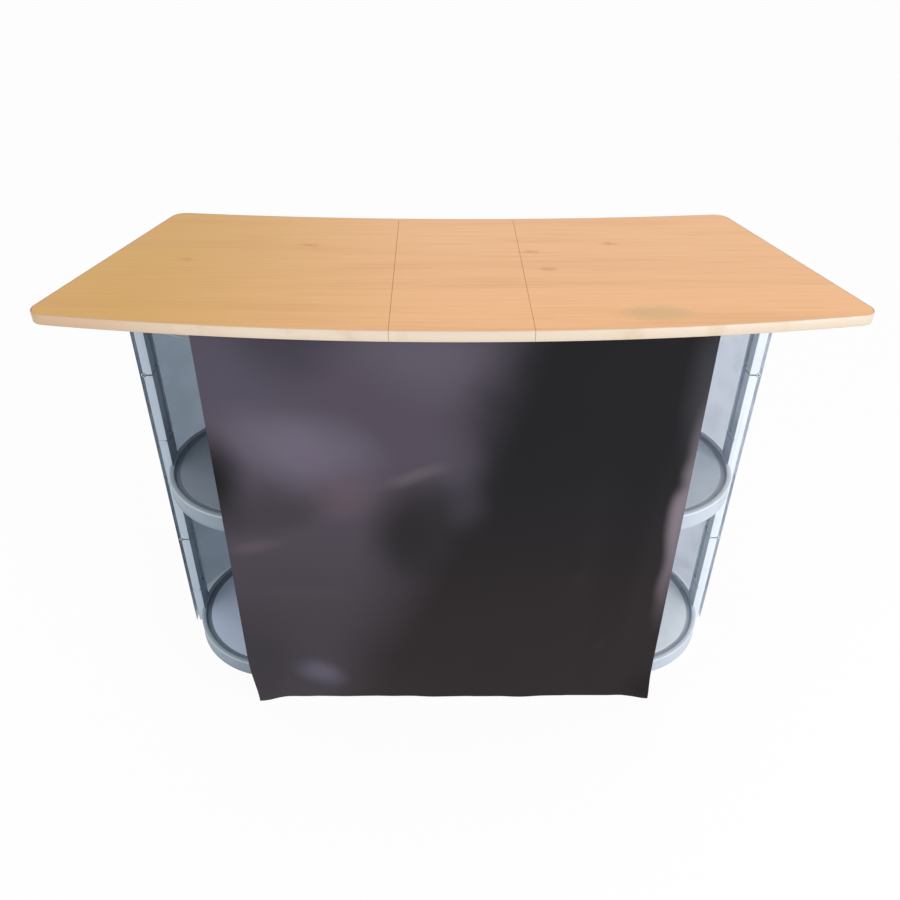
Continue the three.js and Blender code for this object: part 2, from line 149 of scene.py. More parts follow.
class ShaderGraph:
    """A material with one principled shader, and helpers for the nodes that feed it."""

    def __init__(self, name: str) -> None:
        """Makes an empty graph that ends in a principled shader.

        Args:
            name: name of the material.
        """
        self.material = bpy.data.materials.new(name)
        self.material.use_nodes = True
        self.tree = self.material.node_tree
        self.tree.nodes.clear()
        self.surface = self.tree.nodes.new("ShaderNodeBsdfPrincipled")
        output = self.tree.nodes.new("ShaderNodeOutputMaterial")
        self.tree.links.new(self.surface.outputs["BSDF"], output.inputs["Surface"])
        self.coordinates = self.tree.nodes.new("ShaderNodeTexCoord").outputs["Object"]

    def feed(self, socket: Socket, value: object) -> None:
        """Links a socket to an input, or sets a plain value on it.

        Args:
            socket: the input.
            value: a socket or a plain value.
        """
        if isinstance(value, Socket):
            self.tree.links.new(value, socket)
        else:
            socket.default_value = value

    def surface_value(self, name: str, value: object) -> None:
        """Links or sets one input of the principled shader."""
        self.feed(self.surface.inputs[name], value)

    def stretched(self, scale: Triple, turn: float = 0.0) -> Socket:
        """Object coordinates, scaled and turned about the vertical.

        Args:
            scale: factors along the three axes.
            turn: angle in radians.

        Returns:
            The mapped coordinates.
        """
        node = self.tree.nodes.new("ShaderNodeMapping")
        node.inputs["Scale"].default_value = scale
        node.inputs["Rotation"].default_value = (0.0, 0.0, turn)
        self.tree.links.new(self.coordinates, node.inputs["Vector"])
        return node.outputs["Vector"]

    def noise(self, scale: float, detail: float = 3.0, vector: object = None, wobble: float = 0.0) -> Socket:
        """Smooth noise from 0 to 1.

        Args:
            scale: cells per metre.
            detail: number of finer layers.
            vector: coordinates, or None for the object's own.
            wobble: distortion of the pattern.

        Returns:
            The noise value.
        """
        node = self.tree.nodes.new("ShaderNodeTexNoise")
        for label, number in (("Scale", scale), ("Detail", detail), ("Distortion", wobble)):
            node.inputs[label].default_value = number
        self.feed(node.inputs["Vector"], self.coordinates if vector is None else vector)
        return node.outputs["Fac"]

    def axis(self, name: str) -> Socket:
        """One of the object coordinates X, Y or Z, in metres.

        Args:
            name: the letter of the axis.

        Returns:
            The coordinate.
        """
        node = self.tree.nodes.new("ShaderNodeSeparateXYZ")
        self.tree.links.new(self.coordinates, node.inputs[0])
        return node.outputs[name]

    def span(self, value: object, low: float, high: float, to_low: float = 0.0,
             to_high: float = 1.0) -> Socket:
        """Maps a range to another one, smoothly and clamped.

        Args:
            value: the value that is mapped.
            low: start of the range.
            high: end of the range.
            to_low: result at the start.
            to_high: result at the end.

        Returns:
            The mapped value.
        """
        node = self.tree.nodes.new("ShaderNodeMapRange")
        node.interpolation_type = "SMOOTHSTEP"
        self.feed(node.inputs["Value"], value)
        for label, number in (("From Min", low), ("From Max", high), ("To Min", to_low), ("To Max", to_high)):
            node.inputs[label].default_value = number
        return node.outputs["Result"]

    def sums(self, kind: str, a: object, b: object = 0.0) -> Socket:
        """Combines two values.

        Args:
            kind: operation such as ADD, MULTIPLY or SQRT.
            a: first value.
            b: second value, which some operations leave alone.

        Returns:
            The result.
        """
        node = self.tree.nodes.new("ShaderNodeMath")
        node.operation = kind
        self.feed(node.inputs[0], a)
        self.feed(node.inputs[1], b)
        return node.outputs["Value"]

    def distance(self, a: Socket, b: Socket) -> Socket:
        """The length of a step with the given two sides."""
        return self.sums("SQRT", self.sums("ADD", self.sums("MULTIPLY", a, a), self.sums("MULTIPLY", b, b)))

    def mixed(self, share: object, a: object, b: object) -> Socket:
        """Mixes two colours.

        Args:
            share: how much of the second colour.
            a: first colour or socket.
            b: second colour or socket.

        Returns:
            The mixed colour.
        """
        node = self.tree.nodes.new("ShaderNodeMix")
        node.data_type = "RGBA"
        factor, first, second = (s for s in node.inputs if s.enabled)
        for socket, value in ((factor, share), (first, a), (second, b)):
            self.feed(socket, value)
        return next(s for s in node.outputs if s.enabled)

    def veiled(self, base: object, colour: Colour, pattern: Socket, reach: Pair,
               share: float = 1.0) -> Socket:
        """Lays a colour over a base by a pattern.

        Args:
            base: colour or socket below.
            colour: colour on top.
            pattern: value that decides where the colour lies.
            reach: values of the pattern where the colour starts and where it is full.
            share: how much of the colour there is where it is full.

        Returns:
            The new base.
        """
        return self.mixed(self.span(pattern, *reach, 0.0, share), base, linear(colour))

    def toned(self, left: Colour, right: Colour, reach: Pair = (-0.6, 0.6)) -> Socket:
        """A colour that changes along the bar.

        Args:
            left: colour at the left.
            right: colour at the right.
            reach: places along the bar between which it changes.

        Returns:
            The colour.
        """
        return self.veiled(linear(left), right, self.axis("X"), reach)

    def sheen(self, pattern: Socket, rough: Pair, reach: Pair = (0.3, 0.7)) -> None:
        """Sets the roughness between two values by a pattern."""
        self.surface_value("Roughness", self.span(pattern, *reach, *rough))

    def bump(self, height: Socket, depth: float, strength: float) -> None:
        """Raises the surface by a pattern.

        Args:
            height: the pattern.
            depth: its depth in metres.
            strength: how strongly it shows.
        """
        node = self.tree.nodes.new("ShaderNodeBump")
        node.inputs["Strength"].default_value = strength
        node.inputs["Distance"].default_value = depth
        self.feed(node.inputs["Height"], height)
        self.surface_value("Normal", node.outputs["Normal"])

    def pitted(self, cells: float, depth: float, strength: float = 0.2) -> None:
        """Raises the surface by fine noise of so many cells per metre."""
        self.bump(self.noise(cells, 2.0), depth, strength)


@dataclass(frozen=True)
class BeechLaminate:
    """Pale beech-effect laminate, its grain along the bar."""

    left: Colour = (214, 164, 85)
    right: Colour = (241, 184, 131)
    grain: Colour = (196, 136, 80)
    heart: Colour = (204, 124, 62)
    scuff: Colour = (196, 168, 116)
    change: Pair = (-0.6, 0.05)
    long_scale: Triple = (1.1, 15.0, 4.0)
    fine_scale: Triple = (5.0, 190.0, 40.0)
    fleck_scale: Triple = (60.0, 620.0, 60.0)
    grain_depth: float = 0.0002
    knots: tuple[Pair, ...] = ((-0.49, 0.02), (-0.27, 0.09), (0.145, 0.06), (0.17, -0.02), (0.3, 0.1))
    knot_reach: Pair = (0.012, 0.001)
    scuffed: Pair = (0.33, -0.195)
    scuff_reach: Pair = (0.036, 0.012)
    stretch: float = 0.45
    ragged: float = 0.003

    def material(self) -> Material:
        """Builds the grain, flecks, knots and soft sheen."""
        g = ShaderGraph("beech_laminate")
        long_grain = g.noise(1.0, 5.0, g.stretched(self.long_scale, 0.03), 0.7)
        fine_grain = g.noise(1.0, 4.0, g.stretched(self.fine_scale, 0.02))
        flecks = g.noise(1.0, 2.0, g.stretched(self.fleck_scale))
        base = g.toned(self.left, self.right, self.change)
        base = g.veiled(base, self.grain, long_grain, (0.46, 0.78), 0.28)
        base = g.veiled(base, self.grain, fine_grain, (0.45, 0.8), 0.26)
        base = g.veiled(base, self.grain, flecks, (0.62, 0.72), 0.22)
        for place in self.knots:
            base = g.veiled(base, self.heart, self.away(g, place), self.knot_reach, 0.5)
        base = g.veiled(base, self.scuff, self.away(g, self.scuffed), self.scuff_reach, 0.5)
        g.surface_value("Base Color", base)
        g.surface_value("Specular IOR Level", 0.35)
        g.sheen(fine_grain, (0.34, 0.46), (0.2, 0.8))
        g.bump(fine_grain, self.grain_depth, 0.25)
        return g.material

    def away(self, g: ShaderGraph, place: Pair) -> Socket:
        """The ragged distance from a place on the top, shrunk along the grain.

        Args:
            g: the graph that it is part of.
            place: X and Y of the place.

        Returns:
            The distance.
        """
        dx = g.sums("MULTIPLY", g.sums("SUBTRACT", g.axis("X"), place[0]), self.stretch)
        dy = g.sums("SUBTRACT", g.axis("Y"), place[1])
        fray = g.span(g.noise(90.0), 0.3, 0.7, -self.ragged, self.ragged)
        return g.sums("ADD", g.distance(dx, dy), fray)


@dataclass(frozen=True)
class EdgeBand:
    """Pale plastic band glued round a board."""

    light: Colour = (207, 191, 172)
    shaded: Colour = (190, 158, 127)
    worn: Colour = (192, 167, 138)
    change: Pair = (-0.68, -0.3)

    def material(self) -> Material:
        """Builds the cream band with faint rubbed marks."""
        g = ShaderGraph("cream_edge_band")
        marks = g.noise(22.0, 4.0, None, 0.5)
        base = g.toned(self.shaded, self.light, self.change)
        g.surface_value("Base Color", g.veiled(base, self.worn, marks, (0.45, 0.75), 0.45))
        g.sheen(marks, (0.4, 0.55))
        g.pitted(900.0, 0.0001)
        return g.material


@dataclass(frozen=True)
class FilmPatch:
    """A soft patch of painted highlight or painted shade on the banner, where a dent or a wave catches the
    light or loses it.
    """

    x: float
    z: float
    wide: float
    high: float
    tilt: float
    share: float
    colour: Colour
    fade: Pair = (1.5, 0.1)

    def laid(self, g: ShaderGraph, base: Socket, x: Socket, z: Socket) -> Socket:
        """Lays the patch on the banner, full in its middle and fading towards its rim.

        Args:
            g: the graph that it is part of.
            base: colour below.
            x: place along the bar.
            z: height of the place.

        Returns:
            The new colour.
        """
        dx = g.sums("SUBTRACT", x, self.x)
        dz = g.sums("SUBTRACT", g.sums("SUBTRACT", z, self.z), g.sums("MULTIPLY", dx, self.tilt))
        away = g.distance(g.sums("DIVIDE", dx, self.wide), g.sums("DIVIDE", dz, self.high))
        return g.veiled(base, self.colour, away, self.fade, self.share)


@dataclass(frozen=True)
class BannerFilm:
    """Near-black plastic sheet with a painted purple-grey reflection on its left, and soft painted highlights
    and painted shade on its dents.
    """

    # Painted reflection: the left half is a lit purple-grey against the right half's near-black, and both
    # change with height.
    upper_left: Colour = (70, 63, 75)
    lower_left: Colour = (56, 50, 57)
    upper_right: Colour = (15, 15, 19)
    lower_right: Colour = (27, 20, 23)
    edge: Pair = (-0.12, 0.09)
    edge_lean: float = 0.36
    middle: float = 0.6
    rise: Pair = (0.2, 0.7)
    stray: float = 0.014
    # Painted highlights where dents and waves catch the light, and painted shade where they lose it.
    patches: tuple[FilmPatch, ...] = (
        FilmPatch(-0.05, 0.87, 0.13, 0.10, 0.0, 0.85, (81, 77, 88)),
        FilmPatch(-0.37, 0.79, 0.11, 0.12, 0.0, 0.50, (72, 69, 83)),
        FilmPatch(-0.27, 0.88, 0.10, 0.07, 0.0, 0.75, (48, 47, 57)),
        FilmPatch(-0.265, 0.665, 0.12, 0.08, -0.25, 1.0, (93, 86, 101)),
        FilmPatch(-0.20, 0.56, 0.07, 0.05, 0.0, 0.70, (86, 73, 82)),
        FilmPatch(-0.02, 0.645, 0.06, 0.09, 0.0, 0.55, (74, 68, 80)),
        FilmPatch(-0.42, 0.585, 0.055, 0.095, 0.0, 1.0, (6, 6, 8)),
        FilmPatch(-0.33, 0.525, 0.11, 0.05, 0.2, 0.65, (46, 42, 48)),
        FilmPatch(-0.38, 0.437, 0.05, 0.02, 0.35, 0.40, (92, 80, 90)),
        FilmPatch(-0.075, 0.48, 0.07, 0.11, 0.4, 0.85, (22, 19, 22)),
        FilmPatch(-0.07, 0.607, 0.05, 0.02, 0.5, 0.40, (100, 92, 98)),
        FilmPatch(0.02, 0.53, 0.035, 0.06, 0.0, 0.40, (62, 58, 68)),
        FilmPatch(-0.40, 0.14, 0.10, 0.14, 0.0, 0.55, (36, 34, 40)),
        FilmPatch(-0.285, 0.083, 0.05, 0.045, -0.3, 0.85, (84, 80, 96)),
        FilmPatch(0.42, 0.78, 0.04, 0.14, 0.0, 0.55, (62, 62, 68)),
        FilmPatch(0.427, 0.51, 0.024, 0.23, 0.0, 1.0, (112, 102, 111)),
    )

    def material(self) -> Material:
        """Builds the painted reflection, the painted highlight and shade patches, and the fine film texture.
        """
        g = ShaderGraph("banner_film")
        x, z = self.wandering(g, "X", 4.0), self.wandering(g, "Z", 5.0)
        lean = g.sums("MULTIPLY", g.sums("SUBTRACT", z, self.middle), self.edge_lean)
        left = g.veiled(linear(self.lower_left), self.upper_left, z, self.rise)
        right = g.veiled(linear(self.lower_right), self.upper_right, z, self.rise)
        base = g.mixed(g.span(g.sums("SUBTRACT", x, lean), *self.edge), left, right)
        for patch in self.patches:
            base = patch.laid(g, base, x, z)
        g.surface_value("Base Color", base)
        g.surface_value("Specular IOR Level", 0.15)
        g.sheen(g.noise(8.0), (0.34, 0.46))
        g.pitted(1400.0, 0.00006, 0.25)
        return g.material

    def wandering(self, g: ShaderGraph, axis: str, cells: float) -> Socket:
        """A coordinate that strays a little, so that no patch is an even oval.

        Args:
            g: the graph that it is part of.
            axis: the letter of the axis.
            cells: cells of the straying per metre.

        Returns:
            The coordinate.
        """
        stray = g.span(g.noise(cells, 2.0, None, 0.4), 0.3, 0.7, -self.stray, self.stray)
        return g.sums("ADD", g.axis(axis), stray)


@dataclass(frozen=True)
class TonedPlastic:
    """Plastic or acrylic with painted shade, darker on the left tower and lighter on the right one."""

    name: str
    left: Colour
    right: Colour
    roughness: float
    clearness: float = 0.0
    mottle: float = 0.1
    shade: float = 0.72
    refraction: float = 1.45

    def material(self) -> Material:
        """Builds the painted shade from left to right, with faint mottling and a moulded texture."""
        g = ShaderGraph(self.name)
        cloud = g.noise(14.0, 4.0, None, 0.3)
        # Painted shade: darker towards the left tower.
        base = g.toned(self.left, self.right)
        base = g.veiled(base, dimmed(self.left, self.shade), cloud, (0.35, 0.75), self.mottle)
        g.surface_value("Base Color", base)
        g.surface_value("Transmission Weight", self.clearness)
        g.surface_value("IOR", self.refraction)
        g.sheen(cloud, (self.roughness - 0.05, self.roughness + 0.07))
        g.pitted(650.0, 0.00008)
        return g.material


@dataclass(frozen=True)
class SatinAluminium:
    """Anodised aluminium, drawn along its length, with painted shade that darkens it on the left tower."""

    left: Colour = (176, 190, 204)
    right: Colour = (232, 240, 248)
    shade: float = 0.8
    metal: float = 0.35
    drawn: Triple = (900.0, 900.0, 3.0)

    def material(self) -> Material:
        """Builds the drawn lines and the satin sheen."""
        g = ShaderGraph("satin_aluminium")
        lines = g.noise(1.0, 3.0, g.stretched(self.drawn))
        dim = dimmed(self.left, self.shade)
        # Painted shade: darker towards the left tower.
        base = g.toned(self.left, self.right)
        base = g.veiled(base, dim, lines, (0.4, 0.8), 0.3)
        base = g.veiled(base, dim, g.noise(18.0), (0.5, 0.8), 0.2)
        g.surface_value("Base Color", base)
        g.surface_value("Metallic", self.metal)
        g.sheen(lines, (0.28, 0.42))
        g.bump(lines, 0.00005, 0.2)
        return g.material


@dataclass(frozen=True)
class PlatedSteel:
    """Plated steel of hinges, screws and pins."""

    name: str = "plated_steel"
    tone: Colour = (176, 178, 182)
    spot: Colour = (120, 118, 114)
    metal: float = 0.9

    def material(self) -> Material:
        """Builds the plating with faint dull spots."""
        g = ShaderGraph(self.name)
        spots = g.noise(60.0, 4.0)
        g.surface_value("Base Color", g.veiled(linear(self.tone), self.spot, spots, (0.5, 0.75), 0.6))
        g.surface_value("Metallic", self.metal)
        g.sheen(spots, (0.25, 0.45))
        g.pitted(800.0, 0.00004)
        return g.material


@dataclass(frozen=True)
class HookTape:
    """Black woven tape with stiff hooks."""

    tone: Colour = (34, 34, 37)
    thread: Colour = (58, 58, 62)
    weave: Triple = (1500.0, 1500.0, 700.0)

    def material(self) -> Material:
        """Builds the woven ground."""
        g = ShaderGraph("hook_tape")
        weave = g.noise(1.0, 2.0, g.stretched(self.weave))
        g.surface_value("Base Color", g.veiled(linear(self.tone), self.thread, weave, (0.4, 0.7)))
        g.sheen(weave, (0.8, 0.95))
        g.bump(weave, 0.0003, 0.6)
        return g.material


class MeshMaker:
    """Collects closed shells, in metres, into one mesh."""

    def __init__(self) -> None:
        """Starts with nothing."""
        self.points: list[Vector] = []
        self.faces: list[tuple[int, ...]] = []
        self.kinds: list[int] = []

    def skin(self, loops: Sequence[Loop], kind: int | Callable[[int], int] = 0, joined: bool = False,
             place: Matrix | None = None) -> None:
        """Skins a row of loops that have the same number of points.

        Args:
            loops: cross sections in order.
            kind: material index, or a function that gives it for a place in the loop.
            joined: whether the last loop meets the first one. Otherwise both ends are capped.
            place: matrix applied to every point.
        """
        start, size, count = len(self.points), len(loops[0]), len(loops)
        matrix = place or Matrix.Identity(4)
        for loop in loops:
            self.points.extend(matrix @ p for p in loop)
        pick = kind if callable(kind) else lambda _index: kind
        for row in range(count if joined else count - 1):
            a, b = start + row * size, start + ((row + 1) % count) * size
            for i in range(size):
                j = (i + 1) % size
                self.faces.append((a + i, a + j, b + j, b + i))
                self.kinds.append(pick(i))
        if not joined:
            last = start + (count - 1) * size
            self.faces.append(tuple(range(start + size - 1, start - 1, -1)))
            self.faces.append(tuple(range(last, last + size)))
            self.kinds.extend((pick(0), pick(0)))

    def upright(self, outline: Sequence[Pair], span: Pair, place: Matrix, kind: int = 0) -> None:
        """An upright bar.

        Args:
            outline: points in X and Y.
            span: heights of its bottom and its top.
            place: frame of the bar.
            kind: material index.
        """
        self.skin([[Vector((x, y, z)) for x, y in outline] for z in span], kind, place=place)

    def crosswise(self, outline: Sequence[Pair], span: Pair, place: Matrix) -> None:
        """A plate that lies across a post.

        Args:
            outline: points in X and Z.
            span: places of its two faces along Y.
            place: frame of the plate.
        """
        self.skin([[Vector((x, y, z)) for x, z in outline] for y in span], place=place)

    def bar(self, radius: float, ends: tuple[Vector, Vector], kind: int = 0,
            place: Matrix | None = None) -> None:
        """A round bar between two points, with softened ends.

        Args:
            radius: radius of the bar.
            ends: middles of its two ends.
            kind: material index.
            place: matrix applied to every point.
        """
        facets, soft = 24, 0.0004
        a, b = ends
        along = (b - a).normalized()
        side = along.orthogonal().normalized()
        other = along.cross(side)
        chamfer = along * soft
        rims = ((a, radius - soft), (a + chamfer, radius), (b - chamfer, radius), (b, radius - soft))
        loops = []
        for centre, r in rims:
            loops.append([centre + (side * math.cos(t) + other * math.sin(t)) * r for t in around(facets)])
        self.skin(loops, kind, place=place)

    def turned(self, profile: Sequence[Pair], centre: Vector, kinds: Sequence[int], steps: int = 128) -> None:
        """A closed profile turned round the vertical through a point.

        Args:
            profile: radii and heights.
            centre: point on the axis.
            kinds: material index of each edge of the profile.
            steps: number of steps round the axis.
        """
        loops = [[centre + polar(r, t, z) for r, z in profile] for t in around(steps)]
        self.skin(loops, lambda i: kinds[i], joined=True)

    def disc(self, profile: Sequence[Pair], centre: Vector, steps: int = 128) -> None:
        """A solid of revolution.

        Args:
            profile: radii and heights, which start and end near the axis.
            centre: point on the axis.
            steps: number of steps round the axis.
        """
        self.skin([[centre + polar(r, t, z) for t in around(steps)] for r, z in profile])

    def mesh(self, name: str, materials: Sequence[Material], smooth: float = 32.0) -> Piece:
        """Turns the shells into an object with outward faces.

        Args:
            name: name of the piece.
            materials: its materials, by index.
            smooth: angle in degrees below which edges are shaded smooth.

        Returns:
            The new object, linked into the scene.
        """
        data = bpy.data.meshes.new(name)
        data.from_pydata([tuple(p) for p in self.points], [], self.faces)
        for material in materials:
            data.materials.append(material)
        data.polygons.foreach_set("material_index", self.kinds)
        shape = bmesh.new()
        shape.from_mesh(data)
        bmesh.ops.recalc_face_normals(shape, faces=shape.faces)
        shape.to_mesh(data)
        shape.free()
        data.shade_smooth()
        data.set_sharp_from_angle(angle=math.radians(smooth))
        made = bpy.data.objects.new(name, data)
        bpy.context.scene.collection.objects.link(made)
        return made


def softened(piece: Piece, width: float) -> Piece:
    """Adds a small bevel to the sharp edges of a piece.

    Args:
        piece: the object.
        width: width of the bevel in metres.

    Returns:
        The same object.
    """
    sharp = 48
    bevel = piece.modifiers.new("softened_edges", "BEVEL")
    bevel.width = width
    bevel.segments = 2
    bevel.limit_method = "ANGLE"
    bevel.angle_limit = math.radians(sharp)
    return piece


def seat(piece: Piece, body: str, slot: str, *nodes: str) -> Piece:
    """Fixes a piece to a body of the frame and hides the solids that it replaces.

    Args:
        piece: the finished object.
        body: body that it moves with.
        slot: not used.
        nodes: solids that it replaces.

    Returns:
        The same object.
    """
    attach(piece, body)
    if nodes:
        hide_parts(*nodes)
    LOG.info("%s rides on %s", piece.name, body)
    return piece


class RowTree:
    """A node tree that sets round heads, barrels or hooks in a row along the edges of its input."""

    SIZES = {"Count": "Int", "Radius": "Float", "Tip Radius": "Float", "Length": "Float", "Facets": "Int",
             "Turn": "Vector", "Material": "Material"}
    NODES = {
        "source": "NodeGroupInput",
        "curve": "GeometryNodeMeshToCurve",
        "even": "GeometryNodeResampleCurve",
        "shape": "GeometryNodeMeshCone",
        "turned": "GeometryNodeTransform",
        "spread": "GeometryNodeInstanceOnPoints",
        "real": "GeometryNodeRealizeInstances",
        "paint": "GeometryNodeSetMaterial",
        "target": "NodeGroupOutput",
    }
    LINKS = (
        ("source", "Geometry", "curve", "Mesh"),
        ("curve", "Curve", "even", "Curve"),
        ("source", "Count", "even", "Count"),
        ("source", "Facets", "shape", "Vertices"),
        ("source", "Tip Radius", "shape", "Radius Top"),
        ("source", "Radius", "shape", "Radius Bottom"),
        ("source", "Length", "shape", "Depth"),
        ("shape", "Mesh", "turned", "Geometry"),
        ("source", "Turn", "turned", "Rotation"),
        ("even", "Curve", "spread", "Points"),
        ("turned", "Geometry", "spread", "Instance"),
        ("spread", "Instances", "real", "Geometry"),
        ("real", "Geometry", "paint", "Geometry"),
        ("source", "Material", "paint", "Material"),
        ("paint", "Geometry", "target", "Geometry"),
    )
    SMOOTH = 40

    def __init__(self) -> None:
        """Builds the tree with named inputs."""
        self.tree = bpy.data.node_groups.new("row_of_parts", "GeometryNodeTree")
        face = self.tree.interface
        face.new_socket("Geometry", in_out="INPUT", socket_type="NodeSocketGeometry")
        self.ids = {}
        for name, kind in self.SIZES.items():
            socket = face.new_socket(name, in_out="INPUT", socket_type=f"NodeSocket{kind}")
            self.ids[name] = socket.identifier
        face.new_socket("Geometry", in_out="OUTPUT", socket_type="NodeSocketGeometry")
        nodes = {name: self.tree.nodes.new(kind) for name, kind in self.NODES.items()}
        for start, output, end, entry in self.LINKS:
            self.tree.links.new(nodes[start].outputs[output], nodes[end].inputs[entry])

    def row(self, name: str, path: Sequence[Vector], values: dict[str, object]) -> Piece:
        """Makes one row as a plain mesh.

        Args:
            name: name of the piece.
            path: points that the row follows.
            values: sizes and material, by input name.

        Returns:
            The new object.
        """
        line = bpy.data.meshes.new(name + "_path")
        line.from_pydata([tuple(p) for p in path], [(i, i + 1) for i in range(len(path) - 1)], [])
        made = bpy.data.objects.new(name, line)
        bpy.context.scene.collection.objects.link(made)
        modifier = made.modifiers.new("row", "NODES")
        modifier.node_group = self.tree
        for label, value in values.items():
            modifier[self.ids[label]] = value
        graph = bpy.context.evaluated_depsgraph_get()
        result = bpy.data.meshes.new_from_object(made.evaluated_get(graph), depsgraph=graph)
        made.modifiers.clear()
        made.data = result
        result.name = name
        result.shade_smooth()
        result.set_sharp_from_angle(angle=math.radians(self.SMOOTH))
        return made


@dataclass
class ShelfTower:
    """A round tower of three shelf rings on two storeys of folding posts."""

    side: Side
    finishes: Finishes
    spacing: float = 0.786
    setback: float = 0.0075
    pitch: float = 0.422
    ring_radius: float = 0.196
    rim_height: float = 0.037
    rim_wall: float = 0.006
    rim_fillet: float = 0.002
    rim_recess: float = 0.0008
    rim_edge: float = 0.0006
    foot_bead: float = 0.003
    lip_width: float = 0.010
    lip_bottom: float = 0.0333
    lip_outer_round: tuple[Pair, ...] = ((0.0, 0.0016), (0.0006, 0.0005), (0.0018, 0.0))
    lip_inner_round: tuple[Pair, ...] = ((0.0012, 0.0), (0.0003, 0.0005), (0.0, 0.0014))
    groove_floor: float = 0.029
    groove_fillet: float = 0.001
    ledge_radius: float = 0.158
    ledge_thickness: float = 0.004
    disc_radius: float = 0.174
    disc_bottom: float = 0.0293
    disc_top: float = 0.0333
    disc_edge: float = 0.0005
    disc_pole: float = 0.002
    post_radius: float = 0.198
    post_half_depth: float = 0.009
    post_half_width: float = 0.022
    post_edge: float = 0.0015
    bar_edge: float = 0.0004
    channel: Pair = (0.002, 0.016)
    channel_depth: float = 0.005
    half_length: float = 0.159
    foot_height: float = 0.059
    head_drop: float = 0.008
    head_sink: float = 0.001
    pivot_x: float = 0.004
    pivot_radius: float = 0.005
    pin_radius: float = 0.0025
    pin_proud: float = 0.0004
    fork_gap: float = 0.0056
    fork_sink: float = 0.001
    fork_inside: float = 0.012
    cheek_steps: int = 8
    eye_steps: int = 12
    tongue_half: float = 0.0117
    elbow_x: float = -0.0094
    elbow_radius: float = 0.0037
    elbow_pin_radius: float = 0.002
    elbow_notch: float = 0.0044
    elbow_seam: float = 0.0014
    elbow_cut: float = -0.0052
    cut_edge: float = 0.0002
    cut_corner: float = 0.0006
    # A dark block in the elbow seam, painted shade for the gap between the post halves.
    elbow_core: Pair = (-0.0045, 0.0035)
    core_half: float = 0.0205
    core_depth: float = 0.002
    core_gap: float = 0.00015
    knuckle_length: float = 0.011
    knuckle_gap: float = 0.0003
    wrap_radius: float = 0.21343
    wrap_thickness: float = 0.001
    wrap_lap: float = 0.10385
    wrap_end_gap: float = 0.001
    wrap_slack: float = 0.0007
    wrap_waves: float = 9.0
    wrap_phase: float = 1.3
    wrap_steps: int = 120
    wrap_rows: int = 10
    wrap_smooth: float = 60.0
    folded_share: float = 0.305

    @property
    def word(self) -> str:
        """Left or right."""
        return self.side.word

    @property
    def centre(self) -> Vector:
        """Middle of the tower on the floor."""
        return Vector((self.side.value * self.spacing / 2, self.setback, 0.0))

    def ring_centre(self, level: Level) -> Vector:
        """Middle of the underside of a ring."""
        return self.centre + Vector((0, 0, level.value * self.pitch))

    def ring_body(self, level: Level) -> str:
        """The body that carries a ring."""
        return "bases" if level is Level.BASE else f"{self.word}_{level.word}"

    def places(self) -> dict[str, float]:
        """The angle of each post round the tower."""
        outward = 0.0 if self.side is Side.RIGHT else math.pi
        hand = self.side.value
        return {"outer": outward, "front": outward - hand * THIRD, "rear": outward + hand * THIRD}

    def post_frame(self, angle: float, height: float) -> Matrix:
        """The frame of a post: X to the tower centre, Y along the ring, Z up.

        Args:
            angle: place round the tower.
            height: height of the frame's origin.

        Returns:
            The matrix from the post's frame to the bar's.
        """
        spot = self.centre + polar(self.post_radius, angle, height)
        return Matrix.Translation(spot) @ Matrix.Rotation(angle + math.pi, 4, "Z")

    def build(self) -> None:
        """Builds every ring, shelf, post and wrap of the tower."""
        for level in Level:
            self.build_rim(level)
            self.build_shelf(level)
            self.build_sockets(level)
        for storey in Storey:
            for place, angle in self.places().items():
                self.build_post(storey, place, angle)
            self.build_wrap(storey)

    def build_rim(self, level: Level) -> None:
        """A moulded rim with a rounded lip in painted highlight, a groove floor in its own grey meant as
        painted shade, and a ledge.

        Args:
            level: which ring of the tower.
        """
        r, top, floor, e = self.ring_radius, self.rim_height, self.groove_floor, self.rim_edge
        inner, mouth, inside = r - self.lip_width, self.ledge_radius, r - self.rim_wall
        recess, bead, fillet = self.rim_recess, self.foot_bead, self.groove_fillet
        under, bend = floor - self.ledge_thickness, self.rim_fillet
        outer_round = [(r - x, top - z) for x, z in self.lip_outer_round]
        inner_round = [(inner + x, top - z) for x, z in self.lip_inner_round]
        # The lip takes a paler grey as a painted highlight along the rounded top edge.
        rim, lip_highlight, groove = range(3)
        runs = (
            (rim, [(r - e, 0.0), (r, recess), (r, bead), (r - recess, bead + recess),
                   (r - recess, self.lip_bottom - recess)]),
            (lip_highlight, [(r, self.lip_bottom), *outer_round, inner_round[0]]),
            (rim, [inner_round[1]]),
            # The groove floor takes its own grey, meant as painted shade for the recess; it is now close to
            # the rim's grey.
            (groove, [inner_round[2], (inner, floor + fillet), (inner - fillet, floor), (mouth + e, floor)]),
            (rim, [(mouth, floor - e), (mouth, under + e), (mouth + e, under), (inside - bend, under),
                   (inside, under - bend), (inside, e), (inside + e, 0.0)]),
        )
        profile = [point for _kind, run in runs for point in run]
        kinds = [kind for kind, run in runs for _point in run]
        maker = MeshMaker()
        maker.turned(profile, self.ring_centre(level), kinds)
        looks = [self.finishes[key] for key in ("rim", "lip_highlight", "groove")]
        piece = maker.mesh(f"{self.word}_{level.word}_rim", looks)
        seat(piece, self.ring_body(level), "rim_plastic", f"{self.word}_{level.word}_ring")

    def build_shelf(self, level: Level) -> None:
        """A round acrylic disc with polished edges, lying on the ledge.

        Args:
            level: which ring of the tower carries it.
        """
        r, low, high = self.disc_radius, self.disc_bottom, self.disc_top
        e, pole = self.disc_edge, self.disc_pole
        profile = [(pole, low), (r - e, low), (r, low + e), (r, high - e), (r - e, high), (pole, high)]
        maker = MeshMaker()
        maker.disc(profile, self.ring_centre(level))
        look = "milky" if level is Level.BASE else "frosted"
        piece = maker.mesh(f"{self.word}_{level.word}_disc", [self.finishes[look]])
        seat(piece, self.ring_body(level), f"{look}_shelf", f"{self.word}_{level.word}_shelf")

